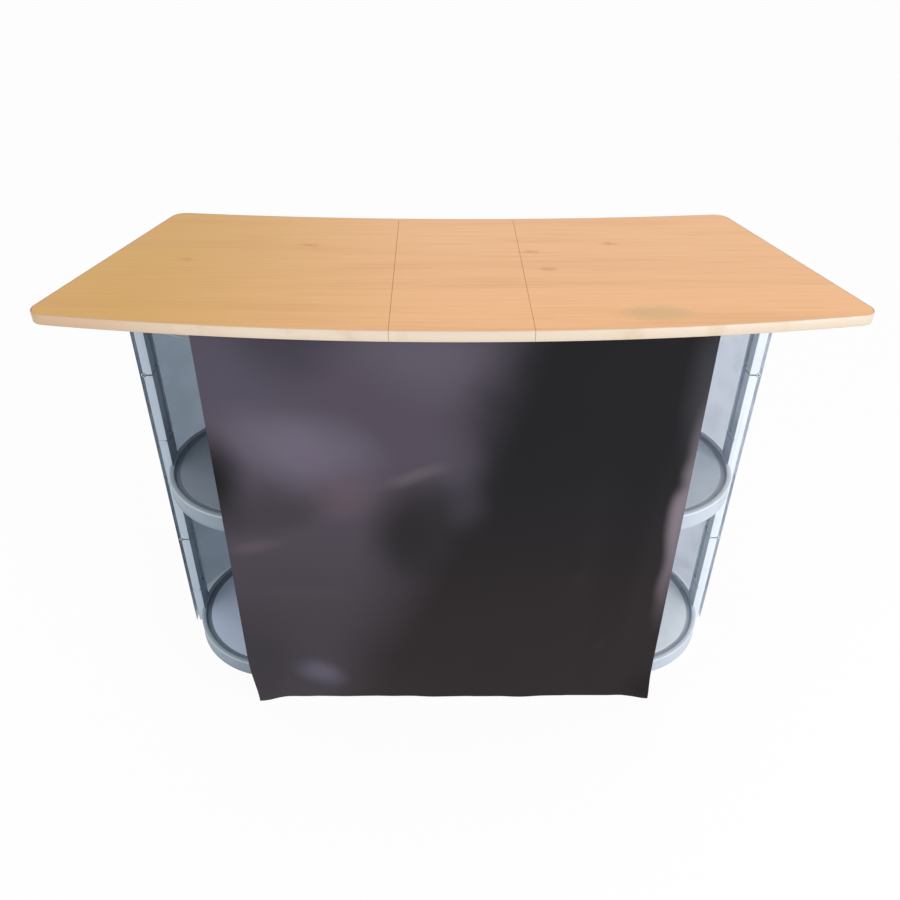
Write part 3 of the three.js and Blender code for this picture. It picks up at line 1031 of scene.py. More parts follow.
    def section(self, hand: int, cut: float | None = None) -> list[Pair]:
        """The outline of a post bar.

        Args:
            hand: side of the channel in the inner face, or 0 for a bar with no channel.
            cut: where the outer side is cut away for the elbow, or None.

        Returns:
            Points in X and Y.
        """
        x, y, wide, fine = self.post_half_depth, self.post_half_width, self.post_edge, self.bar_edge
        if cut is None:
            outer = [(-x + wide, -y), (-x + fine, -y + fine), (-x, -y + wide)]
        else:
            outer = [(cut + self.cut_edge, -y), (cut, -y + self.cut_edge), (cut, -y + self.cut_corner)]
        mirrored = [(px, -py) for px, py in reversed(outer)]
        near, far = self.channel
        floor = x - self.channel_depth
        slot = [(x, far), (floor, far), (floor, near), (x, near)] if hand else []
        if hand < 0:
            slot = [(px, -py) for px, py in reversed(slot)]
        return [*outer, *mirrored, (x, y), *slot, (x, -y)]

    def eye(self, sweep: float, steps: int) -> list[Pair]:
        """The rounded end about a pivot, as points in X and Z."""
        x, r = self.pivot_x, self.pivot_radius
        return [(x + r * math.cos(t), r * math.sin(t)) for t in evenly(0.0, sweep, steps)]

    def tongue(self, maker: MeshMaker, place: Matrix) -> None:
        """An eye round a pivot, with its neck down into the bar.

        Args:
            maker: where the shell goes.
            place: frame with the pivot at its origin.
        """
        x, r, low = self.pivot_x, self.pivot_radius, -self.fork_gap - self.fork_sink
        outline = [*self.eye(math.pi, self.eye_steps), (x - r, low), (x + r, low)]
        maker.crosswise(outline, (-self.tongue_half, self.tongue_half), place)

    def fork(self, maker: MeshMaker, drop: float, place: Matrix) -> None:
        """A foot with two cheeks and their pin, the pivot at the origin of its frame.

        Args:
            maker: where the shells go.
            drop: distance from the pivot down to the end of the foot.
            place: frame of the fork.
        """
        maker.upright(self.section(0), (-drop, -self.fork_gap), place)
        r, back, edge = self.pivot_radius, -self.post_half_depth, self.post_edge
        low = -self.fork_gap - self.fork_sink
        corner = [(back + edge, r), (back, r - edge), (back, low), (self.pivot_x + r, low)]
        cheek = [*self.eye(QUARTER, self.cheek_steps), *corner]
        wide = self.post_half_width
        for span in ((-wide, -self.fork_inside), (self.fork_inside, wide)):
            maker.crosswise(cheek, span, place)
        reach = wide + self.pin_proud
        ends = (Vector((self.pivot_x, -reach, 0.0)), Vector((self.pivot_x, reach, 0.0)))
        maker.bar(self.pin_radius, ends, place=place)

    def build_sockets(self, level: Level) -> None:
        """The forks on which the posts of a ring turn.

        Args:
            level: which ring of the tower.
        """
        maker = MeshMaker()
        bottom = level.value * self.pitch
        for angle in self.places().values():
            if level is not Level.TOP:
                height = self.rim_height + self.foot_height
                self.fork(maker, height, self.post_frame(angle, bottom + height))
            if level is not Level.BASE:
                drop = self.head_drop + (self.head_sink if level is Level.MIDDLE else self.rim_height)
                self.fork(maker, drop, self.post_frame(angle, bottom - self.head_drop) @ FLIP)
        piece = maker.mesh(f"{self.word}_{level.word}_sockets", [self.finishes["aluminium"]])
        seat(softened(piece, self.bar_edge), self.ring_body(level), "aluminium")

    def build_half(self, maker: MeshMaker, hand: int, carries_pin: bool, place: Matrix) -> None:
        """One half of a post, from its eye to the elbow seam.

        Args:
            maker: where the shells go.
            hand: side of the channel.
            carries_pin: whether the outer knuckles and the pin belong to this half.
            place: frame of the half, its pivot at the origin.
        """
        seam, notch = self.half_length - self.elbow_seam, self.half_length - self.elbow_notch
        maker.upright(self.section(hand), (self.fork_gap, notch), place)
        maker.upright(self.section(hand, self.elbow_cut), (notch - self.bar_edge, seam), place)
        # The dark block fills the seam as painted shade, where the gap between the halves gets no light.
        (x0, x1), y = self.elbow_core, self.core_half
        seam_shade = [(x0, -y), (x0, y), (x1, y), (x1, -y)]
        maker.upright(seam_shade, (seam - self.core_depth, self.half_length - self.core_gap), place, PIN_AND_SEAM_SHADE)
        self.tongue(maker, place @ FLIP)
        wide, inside = self.post_half_width, self.post_half_width - self.knuckle_length
        if carries_pin:
            self.knuckle(maker, self.elbow_radius, (-wide, -inside), place)
            self.knuckle(maker, self.elbow_radius, (inside, wide), place)
            reach = wide + self.pin_proud
            self.knuckle(maker, self.elbow_pin_radius, (-reach, reach), place, PIN_AND_SEAM_SHADE)
        else:
            reach = inside - self.knuckle_gap
            self.knuckle(maker, self.elbow_radius, (-reach, reach), place)

    def knuckle(self, maker: MeshMaker, radius: float, span: Pair, place: Matrix, kind: int = 0) -> None:
        """A round piece on the elbow axis.

        Args:
            maker: where the shell goes.
            radius: its radius.
            span: places of its two ends along the axis.
            place: frame of the post half.
            kind: material index.
        """
        a, b = (Vector((self.elbow_x, y, self.half_length)) for y in span)
        maker.bar(radius, (a, b), kind, place)

    def build_post(self, storey: Storey, spot: str, angle: float) -> None:
        """Both halves of one post, each on its own body.

        Args:
            storey: which storey it stands on.
            spot: outer, front or rear.
            angle: place round the tower.
        """
        label = f"{self.word}_{storey.word}_{spot}_post"
        foot = storey.value * self.pitch + self.rim_height + self.foot_height
        place = self.post_frame(angle, foot)
        upper = place @ Matrix.Translation((0, 0, 2 * self.half_length)) @ FLIP
        hand = self.side.value
        looks = [self.finishes["aluminium"], self.finishes["pin"]]
        for half, matrix, channel in (("bottom", place, -hand), ("top", upper, hand)):
            maker = MeshMaker()
            self.build_half(maker, channel, half == "bottom", matrix)
            piece = softened(maker.mesh(f"{label}_{half}_bar", looks), self.bar_edge)
            seat(piece, f"{label}_{half}", "aluminium", f"{label}_{half}")

    def build_wrap(self, storey: Storey) -> None:
        """A flexible clear sheet round the posts, open towards the outer front.

        Args:
            storey: which storey it encloses.
        """
        anchor = storey.value * self.pitch
        low, high = anchor + self.wrap_end_gap, anchor + self.pitch - self.wrap_end_gap
        sweep, steps, rows = 2 * THIRD + 2 * self.wrap_lap, self.wrap_steps, self.wrap_rows
        loops = []
        for row, z in enumerate(evenly(low, high, rows)):
            inner, outer = [], []
            swell = self.wrap_slack * math.sin(math.pi * row / rows)
            for t in evenly(-self.wrap_lap, sweep - self.wrap_lap, steps):
                radius = self.wrap_radius + swell * math.sin(self.wrap_waves * t + self.wrap_phase)
                spin = Vector((self.side.value * math.cos(t), math.sin(t), 0.0))
                spot = self.centre + Vector((0, 0, z))
                inner.append(spot + spin * radius)
                outer.append(spot + spin * (radius + self.wrap_thickness))
            loops.append([*inner, *reversed(outer)])
        maker = MeshMaker()
        maker.skin(loops, lambda i: 1 if i in (steps, 2 * steps + 1) else 0)
        looks = [self.finishes[f"{storey.word}_wrap"], self.finishes["wrap_edge"]]
        node = f"{self.word}_{storey.word}_wrap"
        piece = maker.mesh(f"{node}_sheet", looks, self.wrap_smooth)
        body = "bases" if storey is Storey.LOWER else f"{self.word}_middle"
        seat(piece, body, "clear_sheet", node)
        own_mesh(piece)


@dataclass
class FoldingTop:
    """Three bowed panels with edge bands, piano hinges and hook strips."""

    finishes: Finishes
    bottom: float = 0.8813
    thickness: float = 0.019
    front_half: float = 0.7
    back_half: float = 0.563
    front_reach: float = 0.2615
    front_bow: float = 0.063
    back_reach: float = 0.231
    back_bow: float = 0.033
    corner: float = 0.028
    edge_steps: int = 40
    corner_steps: int = 12
    middle_steps: int = 24
    band: float = 0.002
    band_edge: float = 0.0009
    band_smooth: float = 50.0
    board_edge: float = 0.0004
    left_seam: float = -0.107
    right_seam: float = 0.124
    seam_gap: float = 0.0006
    seat_gap: float = 0.0003
    hinge_length: float = 0.4
    hinge_radius: float = 0.0032
    hinge_facets: int = 16
    hinge_pin_radius: float = 0.0015
    leaf_width: float = 0.026
    leaf_start: float = 0.0014
    leaf_thickness: float = 0.0015
    leaf_corner: float = 0.003
    leaf_corner_steps: int = 6
    leaf_edge: float = 0.0002
    knuckles: int = 25
    knuckle_gap: float = 0.0004
    screws: int = 9
    screw_line: float = 0.6
    screw_margin: float = 0.02
    screw_proud: float = 0.0007
    screw_height: float = 0.0012
    screw_radii: Pair = (0.0022, 0.0037)
    banner_half: float = 0.4275
    strip_setback: float = 0.0098
    strip_depth: float = 0.006
    strip_face: float = 0.0006
    strip_height: float = 0.02
    strip_clear: float = 0.02
    strip_edge: float = 0.001
    strip_steps: int = 24
    hook_rows: int = 4
    hook_pitch: float = 0.004
    hook_shift: float = 0.001
    hook_sink: float = 0.0004
    hook_length: float = 0.0008
    hook_radii: Pair = (0.0006, 0.0003)
    hook_facets: int = 6

    @property
    def front_radius(self) -> float:
        """Radius of the bowed front edge."""
        return (self.front_half ** 2 + self.front_bow ** 2) / (2 * self.front_bow)

    @property
    def back_radius(self) -> float:
        """Radius of the hollow back edge."""
        return (self.back_half ** 2 + self.back_bow ** 2) / (2 * self.back_bow)

    @property
    def front_centre(self) -> float:
        """Y of the centre of the front edge's curve."""
        return self.front_radius - self.front_reach

    @property
    def back_centre(self) -> float:
        """Y of the centre of the back edge's curve."""
        return self.back_radius + self.back_reach

    @property
    def middle_y(self) -> float:
        """Y of the middle of the hinges."""
        return (self.back_reach - self.front_reach) / 2

    @property
    def underside(self) -> float:
        """Height of what is fastened under the panels."""
        return self.bottom - self.seat_gap

    def front_y(self, x: float, inset: float) -> float:
        """Y of the front edge at a place along the bar."""
        return self.front_centre - math.sqrt((self.front_radius - inset) ** 2 - x * x)

    def back_y(self, x: float, inset: float) -> float:
        """Y of the back edge at a place along the bar."""
        return self.back_centre - math.sqrt((self.back_radius + inset) ** 2 - x * x)

    def front_line(self, places: Sequence[float], inset: float) -> list[Vector]:
        """Points of the front edge at some places along the bar."""
        return [Vector((x, self.front_y(x, inset))) for x in places]

    def back_line(self, places: Sequence[float], inset: float) -> list[Vector]:
        """Points of the back edge at some places along the bar."""
        return [Vector((x, self.back_y(x, inset))) for x in places]

    def corner_centres(self) -> tuple[Vector, Vector, float]:
        """Where the rounded corners have their centres.

        Returns:
            Centre of the right front corner, of the right back one, and the angle that the side faces.
        """
        start = Vector((self.front_half, self.front_y(self.front_half, 0.0)))
        end = Vector((self.back_half, self.back_y(self.back_half, 0.0)))
        side = (end - start).normalized()
        inward = Vector((-side.y, side.x))
        begin = start + inward * self.corner

        def meet(centre_y: float, radius: float) -> Vector:
            """The point on the inset side line at a radius from a centre on the Y axis.

            Args:
                centre_y: Y of the centre.
                radius: distance from it.

            Returns:
                The nearer of the two points.
            """
            away = Vector((begin.x, begin.y - centre_y))
            along = away.dot(side)
            root = math.sqrt(along ** 2 - away.length_squared + radius ** 2)
            return begin + side * min((-along - root, -along + root), key=abs)

        front = meet(self.front_centre, self.front_radius - self.corner)
        back = meet(self.back_centre, self.back_radius + self.corner)
        return front, back, math.atan2(-inward.y, -inward.x)

    def wing_edge(self, side: Side, inset: float) -> list[Vector]:
        """The free edge of a wing, from the front of the seam round to its back.

        Args:
            side: which wing.
            inset: distance of the line inside the real edge.

        Returns:
            Points in X and Y.
        """
        seam = (self.right_seam if side is Side.RIGHT else -self.left_seam) + self.seam_gap / 2
        front, back, facing = self.corner_centres()
        radius = self.corner - inset
        front_turn = math.atan2(front.y - self.front_centre, front.x)
        back_turn = math.atan2(back.y - self.back_centre, back.x) + math.pi
        last_x = front.x + radius * math.cos(front_turn)
        first_x = back.x + radius * math.cos(back_turn)
        points = self.front_line(evenly(seam, last_x, self.edge_steps), inset)
        for centre, start, stop in ((front, front_turn, facing), (back, facing, back_turn)):
            for t in evenly(start, stop, self.corner_steps)[1:]:
                points.append(centre + Vector((math.cos(t), math.sin(t))) * radius)
        points += self.back_line(evenly(first_x, seam, self.edge_steps)[1:], inset)
        return [Vector((side.value * p.x, p.y)) for p in points]

    def middle_places(self) -> list[float]:
        """Places along the middle panel, from seam to seam."""
        gap = self.seam_gap / 2
        return evenly(self.left_seam + gap, self.right_seam - gap, self.middle_steps)

    def panel_outline(self, name: str, inset: float) -> list[Vector]:
        """The closed outline of a panel.

        Args:
            name: node of the panel.
            inset: distance of the line inside the free edges.

        Returns:
            Points in X and Y.
        """
        if name == "right_wing":
            return self.wing_edge(Side.RIGHT, inset)
        if name == "left_wing":
            return self.wing_edge(Side.LEFT, inset)[::-1]
        places = self.middle_places()
        return self.front_line(places, inset) + self.back_line(places[::-1], inset)

    def build(self) -> None:
        """Builds the panels, bands, hinges and strips."""
        bodies = {"left_wing": "top_left_wing", "middle_panel": "top_middle", "right_wing": "top_right_wing"}
        for name, body in bodies.items():
            self.build_panel(name, body)
        insets, places = (0.0, self.band), self.middle_places()
        for side in (Side.RIGHT, Side.LEFT):
            lines = [self.wing_edge(side, inset) for inset in insets]
            self.build_band(f"{side.word}_wing_edge", f"top_{side.word}_wing", lines)
        for word, line in (("front", self.front_line), ("back", self.back_line)):
            self.build_band(f"middle_{word}_edge", "top_middle", [line(places, inset) for inset in insets])
        tree = RowTree()
        for side, seam in ((Side.LEFT, self.left_seam), (Side.RIGHT, self.right_seam)):
            self.build_hinge(side, seam, tree)
        clear = self.strip_clear
        strips = {
            "left": ("left_wing", -self.banner_half, self.left_seam - clear),
            "middle": ("middle", self.left_seam + clear, self.right_seam - clear),
            "right": ("right_wing", self.right_seam + clear, self.banner_half),
        }
        for word, (panel, start, stop) in strips.items():
            self.build_strip(f"{word}_hook_strip", f"top_{panel}", (start, stop), tree)

    def build_panel(self, name: str, body: str) -> None:
        """One board with softened edges.

        Args:
            name: node of the panel.
            body: body that it moves with.
        """
        base, soft = self.band + self.seat_gap, self.board_edge
        levels = ((0.0, soft), (soft, 0.0), (self.thickness - soft, 0.0), (self.thickness, soft))
        loops = []
        for rise, inset in levels:
            outline = self.panel_outline(name, base + inset)
            loops.append([Vector((p.x, p.y, self.bottom + rise)) for p in outline])
        maker = MeshMaker()
        maker.skin(loops)
        seat(maker.mesh(f"{name}_board", [self.finishes["beech"]]), body, "beech_board", name)

    def build_band(self, node: str, body: str, lines: Sequence[Sequence[Vector]]) -> None:
        """One edge band.

        Args:
            node: solid that it stands for.
            body: body that it moves with.
            lines: its outer and its inner line.
        """
        low, high, soft = self.bottom, self.bottom + self.thickness, self.band_edge
        loops = []
        for outer, inner in zip(*lines):
            cut = outer + (inner - outer).normalized() * soft
            section = ((inner, low), (cut, low), (outer, low + soft),
                       (outer, high - soft), (cut, high), (inner, high))
            loops.append([Vector((p.x, p.y, z)) for p, z in section])
        maker = MeshMaker()
        maker.skin(loops)
        piece = maker.mesh(f"{node}_band", [self.finishes["cream"]], self.band_smooth)
        seat(piece, body, "cream_edge", node)

    def build_hinge(self, side: Side, seam: float, tree: RowTree) -> None:
        """A piano hinge: two leaves with rolled barrels and screws, and the pin.

        Args:
            side: which hinge.
            seam: its place along the bar.
            tree: node tree that makes the rows.
        """
        word, axis_z, half = side.word, self.underside - self.hinge_radius, self.hinge_length / 2
        leaves = (("middle", "top_middle", -side.value, 0), ("wing", f"top_{word}_wing", side.value, 1))
        for leaf, body, hand, first in leaves:
            node = f"{word}_hinge_{leaf}_leaf"
            seat(self.leaf_plate(node, seam, hand), body, "hinge_steel", node)
            axis = Vector((seam, 0.0, axis_z))
            barrels = self.barrel_row(f"{word}_hinge_{leaf}_barrels", axis, first, tree)
            seat(barrels, body, "hinge_steel")
            seat(self.screw_row(f"{word}_hinge_{leaf}_screws", seam, hand, tree), body, "hinge_steel")
        maker = MeshMaker()
        ends = tuple(Vector((seam, self.middle_y + reach, axis_z)) for reach in (-half, half))
        maker.bar(self.hinge_pin_radius, ends)
        pin = maker.mesh(f"{word}_hinge_pin_rod", [self.finishes["steel"]])
        seat(pin, "top_middle", "hinge_steel", f"{word}_hinge_pin")

    def barrel_row(self, name: str, axis: Vector, first: int, tree: RowTree) -> Piece:
        """Every other barrel along a hinge.

        Args:
            name: name of the piece.
            axis: a point on the hinge's axis.
            first: number of the first barrel.
            tree: node tree that makes the row.

        Returns:
            The barrels.
        """
        step = self.hinge_length / self.knuckles
        count = len(range(first, self.knuckles, 2))
        start = self.middle_y - self.hinge_length / 2 + step * (first + 0.5)
        path = [axis + Vector((0.0, start + 2 * step * i, 0.0)) for i in (0, count - 1)]
        return tree.row(name, path, {
            "Count": count, "Radius": self.hinge_radius, "Tip Radius": self.hinge_radius,
            "Length": step - self.knuckle_gap, "Facets": self.hinge_facets,
            "Turn": (QUARTER, 0.0, 0.0), "Material": self.finishes["steel"]})

    def screw_row(self, name: str, seam: float, hand: int, tree: RowTree) -> Piece:
        """The screw heads of a leaf.

        Args:
            name: name of the piece.
            seam: place of the hinge along the bar.
            hand: side of the seam on which the leaf lies.
            tree: node tree that makes the row.

        Returns:
            The screw heads.
        """
        x = seam + hand * self.leaf_width * self.screw_line
        z = self.underside - self.leaf_thickness - self.screw_proud
        reach = self.hinge_length / 2 - self.screw_margin
        path = [Vector((x, self.middle_y + y, z)) for y in (-reach, reach)]
        low_radius, high_radius = self.screw_radii
        return tree.row(name, path, {
            "Count": self.screws, "Radius": low_radius, "Tip Radius": high_radius,
            "Length": self.screw_height, "Facets": self.hinge_facets,
            "Turn": (0.0, 0.0, 0.0), "Material": self.finishes["screw"]})

    def leaf_plate(self, node: str, seam: float, hand: int) -> Piece:
        """The flat plate of a hinge leaf with rounded corners.

        Args:
            node: solid that it stands for.
            seam: place of the hinge along the bar.
            hand: side of the seam on which the leaf lies.

        Returns:
            The plate.
        """
        near, half, r = self.leaf_start, self.hinge_length / 2, self.leaf_corner
        turns = evenly(0.0, QUARTER, self.leaf_corner_steps)
        x, y = self.leaf_width - r, half - r
        outline = [(near, -half), (near, half)]
        outline += [(x + r * math.sin(t), y + r * math.cos(t)) for t in turns]
        outline += [(x + r * math.cos(t), -y - r * math.sin(t)) for t in turns]
        loops = []
        for z in (self.underside - self.leaf_thickness, self.underside):
            loops.append([Vector((seam + hand * px, self.middle_y + py, z)) for px, py in outline])
        maker = MeshMaker()
        maker.skin(loops)
        return softened(maker.mesh(f"{node}_plate", [self.finishes["steel"]]), self.leaf_edge)

    def build_strip(self, node: str, body: str, span: Pair, tree: RowTree) -> None:
        """A strip of hook tape under the front edge, with rows of hooks on its face.

        Args:
            node: solid that it stands for.
            body: body that it moves with.
            span: places of its two ends along the bar.
            tree: node tree that makes the rows.
        """
        high, e = self.underside, self.strip_edge
        low = high - self.strip_height
        places = evenly(*span, self.strip_steps)
        loops = []
        for x in places:
            near = self.front_y(x, self.strip_setback + self.strip_face)
            far = self.front_y(x, self.strip_setback + self.strip_depth)
            section = ((near, low + e), (near, high - e), (near + e, high),
                       (far, high), (far, low), (near + e, low))
            loops.append([Vector((x, y, z)) for y, z in section])
        maker = MeshMaker()
        maker.skin(loops)
        seat(maker.mesh(f"{node}_tape", [self.finishes["tape"]]), body, "hook_tape", node)
        radius, tip_radius = self.hook_radii
        count = int((span[1] - span[0]) / self.hook_pitch)
        sizes = {"Count": count, "Radius": radius, "Tip Radius": tip_radius,
                 "Length": self.hook_length, "Facets": self.hook_facets,
                 "Turn": (QUARTER, 0.0, 0.0), "Material": self.finishes["tape"]}
        heights = evenly(low, high, self.hook_rows + 1)[1:-1]
        for row, z in enumerate(heights):
            shift, inset = self.hook_shift * (row % 2), self.strip_setback + self.hook_sink
            path = [Vector((x + shift, self.front_y(x, inset), z)) for x in places[1:-1]]
            seat(tree.row(f"{node}_hooks_{row + 1}", path, sizes), body, "hook_tape")


@dataclass(frozen=True)
class Swell:
    """A smooth rise or dent of the banner about a place on it."""

    depth: float
    x: float
    rise: float
    wide: float
    high: float
    lean: float = 0.0

    def at(self, x: float, rise: float) -> float:
        """The forward distance at a place on the banner, in metres.

        Args:
            x: place along the bar.
            rise: 0 at the bottom edge and 1 at the top.

        Returns:
            The distance, negative in a dent.
        """
        up = rise - self.rise
        u, v = (x - self.x - self.lean * up) / self.wide, up / self.high
        return self.depth * math.exp(-u * u - v * v)


@dataclass
class FrontBanner:
    """A plastic sheet that hangs from the bowed front edge and ends just above the floor."""

    finishes: Finishes
    top: FoldingTop
    width: float = 0.855
    low: float = 0.006
    high: float = 0.8793
    setback: float = 0.008
    foot_reach: float = 0.248
    thickness: float = 0.0012
    columns: int = 150
    rows: int = 150
    smooth: float = 60.0
    held_share: float = 0.25
    swells: tuple[Swell, ...] = (
        Swell(0.0055, -0.2, 0.62, 0.12, 0.2),
        Swell(-0.0045, -0.33, 0.5, 0.06, 0.08, 0.2),
        Swell(0.0035, -0.3, 0.38, 0.1, 0.03, 0.1),
        Swell(-0.003, -0.05, 0.45, 0.05, 0.15),
        Swell(0.005, 0.36, 0.5, 0.035, 0.3, 0.05),
        Swell(-0.003, 0.28, 0.42, 0.03, 0.25),
        Swell(0.002, 0.24, 0.42, 0.012, 0.03),
        Swell(0.0018, 0.3, 0.2, 0.012, 0.03),
        Swell(0.003, -0.16, 0.1, 0.06, 0.1),
    )
    curls: tuple[Swell, ...] = (Swell(0.009, -0.4275, 0.0, 0.05, 0.06), Swell(0.012, 0.4275, 0.0, 0.04, 0.05))
    tuck: Swell = Swell(0.013, -0.4275, 0.0, 0.06, 0.07)
    wave: Triple = (0.0022, 9.0, 0.6)
    ripples: tuple[Triple, ...] = ((0.0012, 31.0, 0.0), (0.0009, 67.0, 1.0))
    ripple_share: float = 12.0

    def waved(self, x: float, wave: Triple) -> float:
        """The height of a wave, given as height, waves and phase, at a place along the bar."""
        return wave[0] * math.sin(wave[1] * x + wave[2])

    def bulge(self, x: float, rise: float) -> float:
        """How far the sheet stands forward of its even curve, in metres.

        Args:
            x: place along the bar.
            rise: 0 at the bottom edge and 1 at the top.

        Returns:
            Forward distance.
        """
        free = min(1.0, (1 - rise) / self.held_share)
        swell = sum(s.at(x, rise) for s in self.swells) + self.waved(x, self.wave) * (1 - rise) ** 2
        return free * swell + sum(c.at(x, rise) for c in self.curls)

    def spot(self, x: float, rise: float) -> Vector:
        """A point of the sheet's front face.

        Args:
            x: place along the bar before the corner is drawn in.
            rise: 0 at the bottom edge and 1 at the top.

        Returns:
            The point.
        """
        hung = self.top.front_y(x, self.setback)
        y = -self.foot_reach + (hung + self.foot_reach) * rise - self.bulge(x, rise)
        ripple = sum(self.waved(x, wave) for wave in self.ripples) * max(0.0, 1 - rise * self.ripple_share)
        return Vector((x + self.tuck.at(x, rise), y, self.low + (self.high - self.low) * rise + ripple))

    def build(self) -> None:
        """Builds the hung sheet with its waves, dents and curled corners."""
        places = evenly(-self.width / 2, self.width / 2, self.columns)
        behind = Vector((0.0, self.thickness, 0.0))
        loops = []
        for rise in evenly(0.0, 1.0, self.rows):
            front = [self.spot(x, rise) for x in places]
            loops.append([*front, *(point + behind for point in reversed(front))])
        maker = MeshMaker()
        maker.skin(loops)
        piece = maker.mesh("front_banner_sheet", [self.finishes["banner"]], self.smooth)
        seat(piece, "banner", "black_sheet", "front_banner")


@dataclass(frozen=True)
class Lamp:
    """A soft square lamp that faces the bar."""

    name: str
    place: Triple
    size: float
    power: float
    aim: Triple = (0.0, 0.0, 0.5)

    def build(self) -> None:
        """Adds the lamp, hidden from the camera."""
        data = bpy.data.lights.new(self.name, "AREA")
        data.size = self.size
        data.energy = self.power
        lamp = bpy.data.objects.new(self.name, data)
        lamp.location = self.place
        toward = Vector(self.aim) - Vector(self.place)
        lamp.rotation_euler = toward.to_track_quat("-Z", "Y").to_euler()
        lamp.visible_camera = False
        bpy.context.scene.collection.objects.link(lamp)


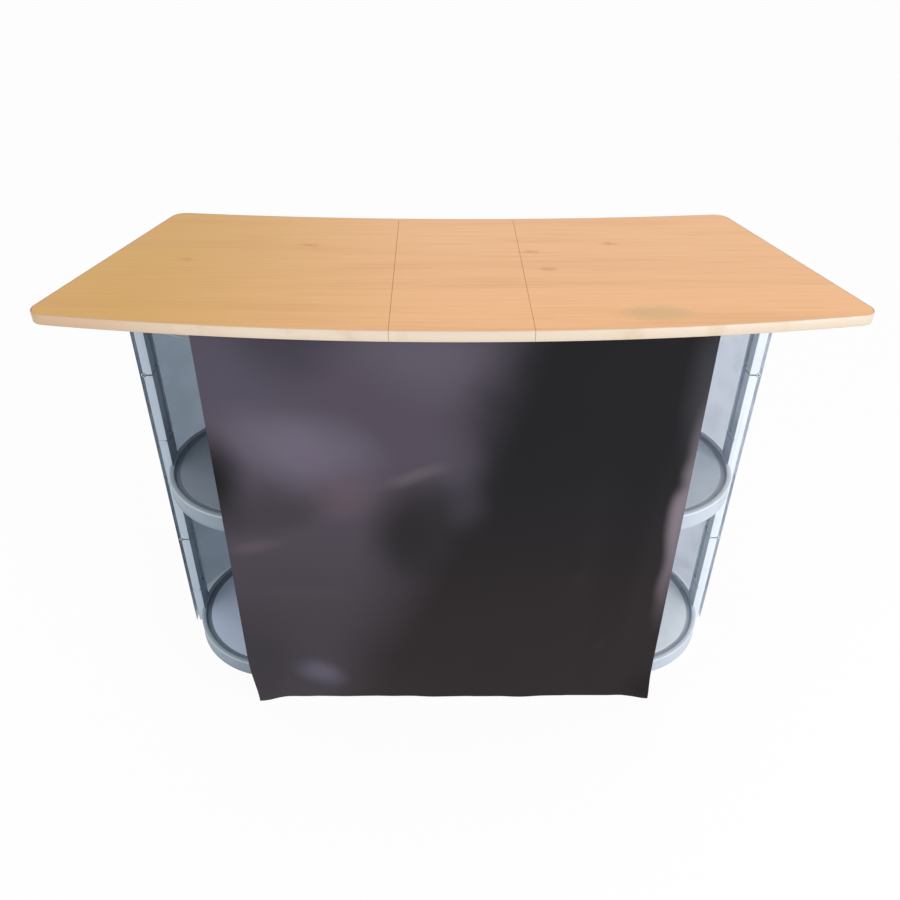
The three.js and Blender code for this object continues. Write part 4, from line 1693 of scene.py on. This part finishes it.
@dataclass
class Studio:
    """A white floor and background, soft lamps and the photograph's camera."""

    place: Triple = (-0.032, -1.4492, 1.5182)
    right: Triple = (0.99987, -0.01388, 0.00819)
    down: Triple = (-0.00136, -0.57938, -0.81506)
    ahead: Triple = (0.01606, 0.81494, -0.57932)
    lens: float = 34.0
    sensor: float = 36.0
    sky: float = 0.82
    floor_half: float = 20.0
    floor_tone: float = 0.9
    floor_glow: float = 0.93
    lamps: tuple[Lamp, ...] = (
        Lamp("key_lamp", (1.9, -2.2, 1.5), 1.6, 40.0),
        Lamp("fill_lamp", (-1.8, -2.2, 1.2), 2.0, 16.0),
    )

    def build(self) -> None:
        """Sets the view, the floor, the lamps and the camera."""
        scene = bpy.context.scene
        scene.view_settings.view_transform = "Standard"
        self.add_world(scene)
        self.add_floor()
        for lamp in self.lamps:
            lamp.build()
        self.add_camera(scene)

    def seen(self, tree: bpy.types.NodeTree) -> Socket:
        """One for camera, glossy and transmission rays, and zero for the rest.

        Args:
            tree: the tree that it is part of.

        Returns:
            The value.
        """
        path = tree.nodes.new("ShaderNodeLightPath")
        share = path.outputs["Is Camera Ray"]
        for name in ("Is Glossy Ray", "Is Transmission Ray"):
            share = self.combined(tree, "MAXIMUM", share, path.outputs[name])
        return share

    def combined(self, tree: bpy.types.NodeTree, kind: str, a: Socket, b: Socket | float) -> Socket:
        """Combines a socket with another one or with a number.

        Args:
            tree: the tree that it is part of.
            kind: operation.
            a: first value.
            b: second value.

        Returns:
            The result.
        """
        node = tree.nodes.new("ShaderNodeMath")
        node.operation = kind
        tree.links.new(a, node.inputs[0])
        if isinstance(b, Socket):
            tree.links.new(b, node.inputs[1])
        else:
            node.inputs[1].default_value = b
        return node.outputs["Value"]

    def blend(self, tree: bpy.types.NodeTree, kinds: Sequence[str], share: Socket) -> list[bpy.types.Node]:
        """Ends a tree in two shaders that are mixed by a share.

        Args:
            tree: the tree.
            kinds: kinds of the two shaders and of the output.
            share: how much of the second shader.

        Returns:
            The two shaders.
        """
        *shaders, output = (tree.nodes.new(kind) for kind in kinds)
        mix = tree.nodes.new("ShaderNodeMixShader")
        for entry, socket in zip(mix.inputs, (share, *(shader.outputs[0] for shader in shaders))):
            tree.links.new(socket, entry)
        tree.links.new(mix.outputs[0], output.inputs["Surface"])
        return shaders

    def add_world(self, scene: bpy.types.Scene) -> None:
        """A white background that lights the bar evenly.

        Args:
            scene: the scene.
        """
        world = bpy.data.worlds.new("white_room")
        world.use_nodes = True
        tree = world.node_tree
        tree.nodes.clear()
        kinds = ("ShaderNodeBackground", "ShaderNodeBackground", "ShaderNodeOutputWorld")
        shaders = self.blend(tree, kinds, self.seen(tree))
        for shader, strength in zip(shaders, (self.sky, 1.0)):
            shader.inputs["Color"].default_value = (1.0, 1.0, 1.0, 1.0)
            shader.inputs["Strength"].default_value = strength
        scene.world = world

    def add_floor(self) -> None:
        """A wide white floor that keeps a faint shadow."""
        data = bpy.data.meshes.new("studio_floor")
        half, tone = self.floor_half, self.floor_tone
        corners = [(-half, -half, 0.0), (half, -half, 0.0), (half, half, 0.0), (-half, half, 0.0)]
        data.from_pydata(corners, [], [range(len(corners))])
        floor = bpy.data.objects.new("studio_floor", data)
        bpy.context.scene.collection.objects.link(floor)
        material = bpy.data.materials.new("white_floor")
        material.use_nodes = True
        tree = material.node_tree
        tree.nodes.clear()
        kinds = ("ShaderNodeBsdfDiffuse", "ShaderNodeEmission", "ShaderNodeOutputMaterial")
        share = self.combined(tree, "MULTIPLY", self.seen(tree), self.floor_glow)
        lit, _glow = self.blend(tree, kinds, share)
        lit.inputs["Color"].default_value = (tone, tone, tone, 1.0)
        data.materials.append(material)

    def add_camera(self, scene: bpy.types.Scene) -> None:
        """The camera of the photograph.

        Args:
            scene: the scene.
        """
        data = bpy.data.cameras.new("photo_camera")
        data.sensor_width = self.sensor
        data.lens = self.lens
        camera = bpy.data.objects.new("photo_camera", data)
        turn = Matrix((self.right, [-v for v in self.down], [-v for v in self.ahead])).transposed()
        camera.matrix_world = Matrix.Translation(self.place) @ turn.to_4x4()
        scene.collection.objects.link(camera)
        scene.camera = camera


def make_finishes() -> Finishes:
    """Builds every finish once.

    Returns:
        The materials by the name of their use.
    """
    sheet = {"roughness": 0.18, "clearness": 0.9, "mottle": 0.12}
    recipes = {
        "beech": BeechLaminate(),
        "cream": EdgeBand(),
        "banner": BannerFilm(),
        # Rims, lips, grooves, shelves, wraps and sheet edges all carry painted shade, darker on the left
        # tower.
        "rim": TonedPlastic("grey_rim", (128, 142, 156), (190, 199, 212), roughness=0.4),
        # The lip's paler grey is a painted highlight on the rounded top edge.
        "lip_highlight": TonedPlastic("pale_lip", (168, 182, 194), (216, 224, 234), roughness=0.34),
        # The groove floor's own grey was put in as painted shade for the recess; it is now close to the rim's
        # grey.
        "groove": TonedPlastic("dark_groove", (136, 150, 164), (192, 202, 214), roughness=0.5),
        "frosted": TonedPlastic("frosted_acrylic", (160, 174, 190), (216, 228, 240), 0.38, clearness=0.1),
        "milky": TonedPlastic("milky_acrylic", (214, 229, 251), (242, 250, 255), roughness=0.4),
        "aluminium": SatinAluminium(),
        # Dark pin steel, also used as painted shade in the elbow seams.
        "pin": PlatedSteel("dark_pin", (74, 80, 88), (52, 56, 62), metal=0.6),
        # Painted shade in the wrap tints: darker on the left tower, and darker again on the lower storey.
        "upper_wrap": TonedPlastic("clear_sheet", (136, 150, 164), (218, 226, 240), **sheet),
        "lower_wrap": TonedPlastic("shaded_sheet", (118, 132, 146), (209, 217, 231), **sheet),
        # The cut ends of the wraps: painted shade on the left tower and painted highlight on the right.
        "wrap_edge": TonedPlastic("sheet_edge", (84, 96, 108), (226, 232, 240), roughness=0.3),
        "steel": PlatedSteel(),
        "screw": PlatedSteel("screw_steel", (150, 150, 152), (96, 96, 98)),
        "tape": HookTape(),
    }
    return {name: recipe.material() for name, recipe in recipes.items()}


def main() -> None:
    """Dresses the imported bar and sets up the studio."""
    logging.basicConfig(level=logging.INFO, format="%(message)s")
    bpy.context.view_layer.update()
    finishes = make_finishes()
    for side in Side:
        ShelfTower(side, finishes).build()
    top = FoldingTop(finishes)
    top.build()
    FrontBanner(finishes, top).build()
    Studio().build()


if __name__ == "__main__":
    main()
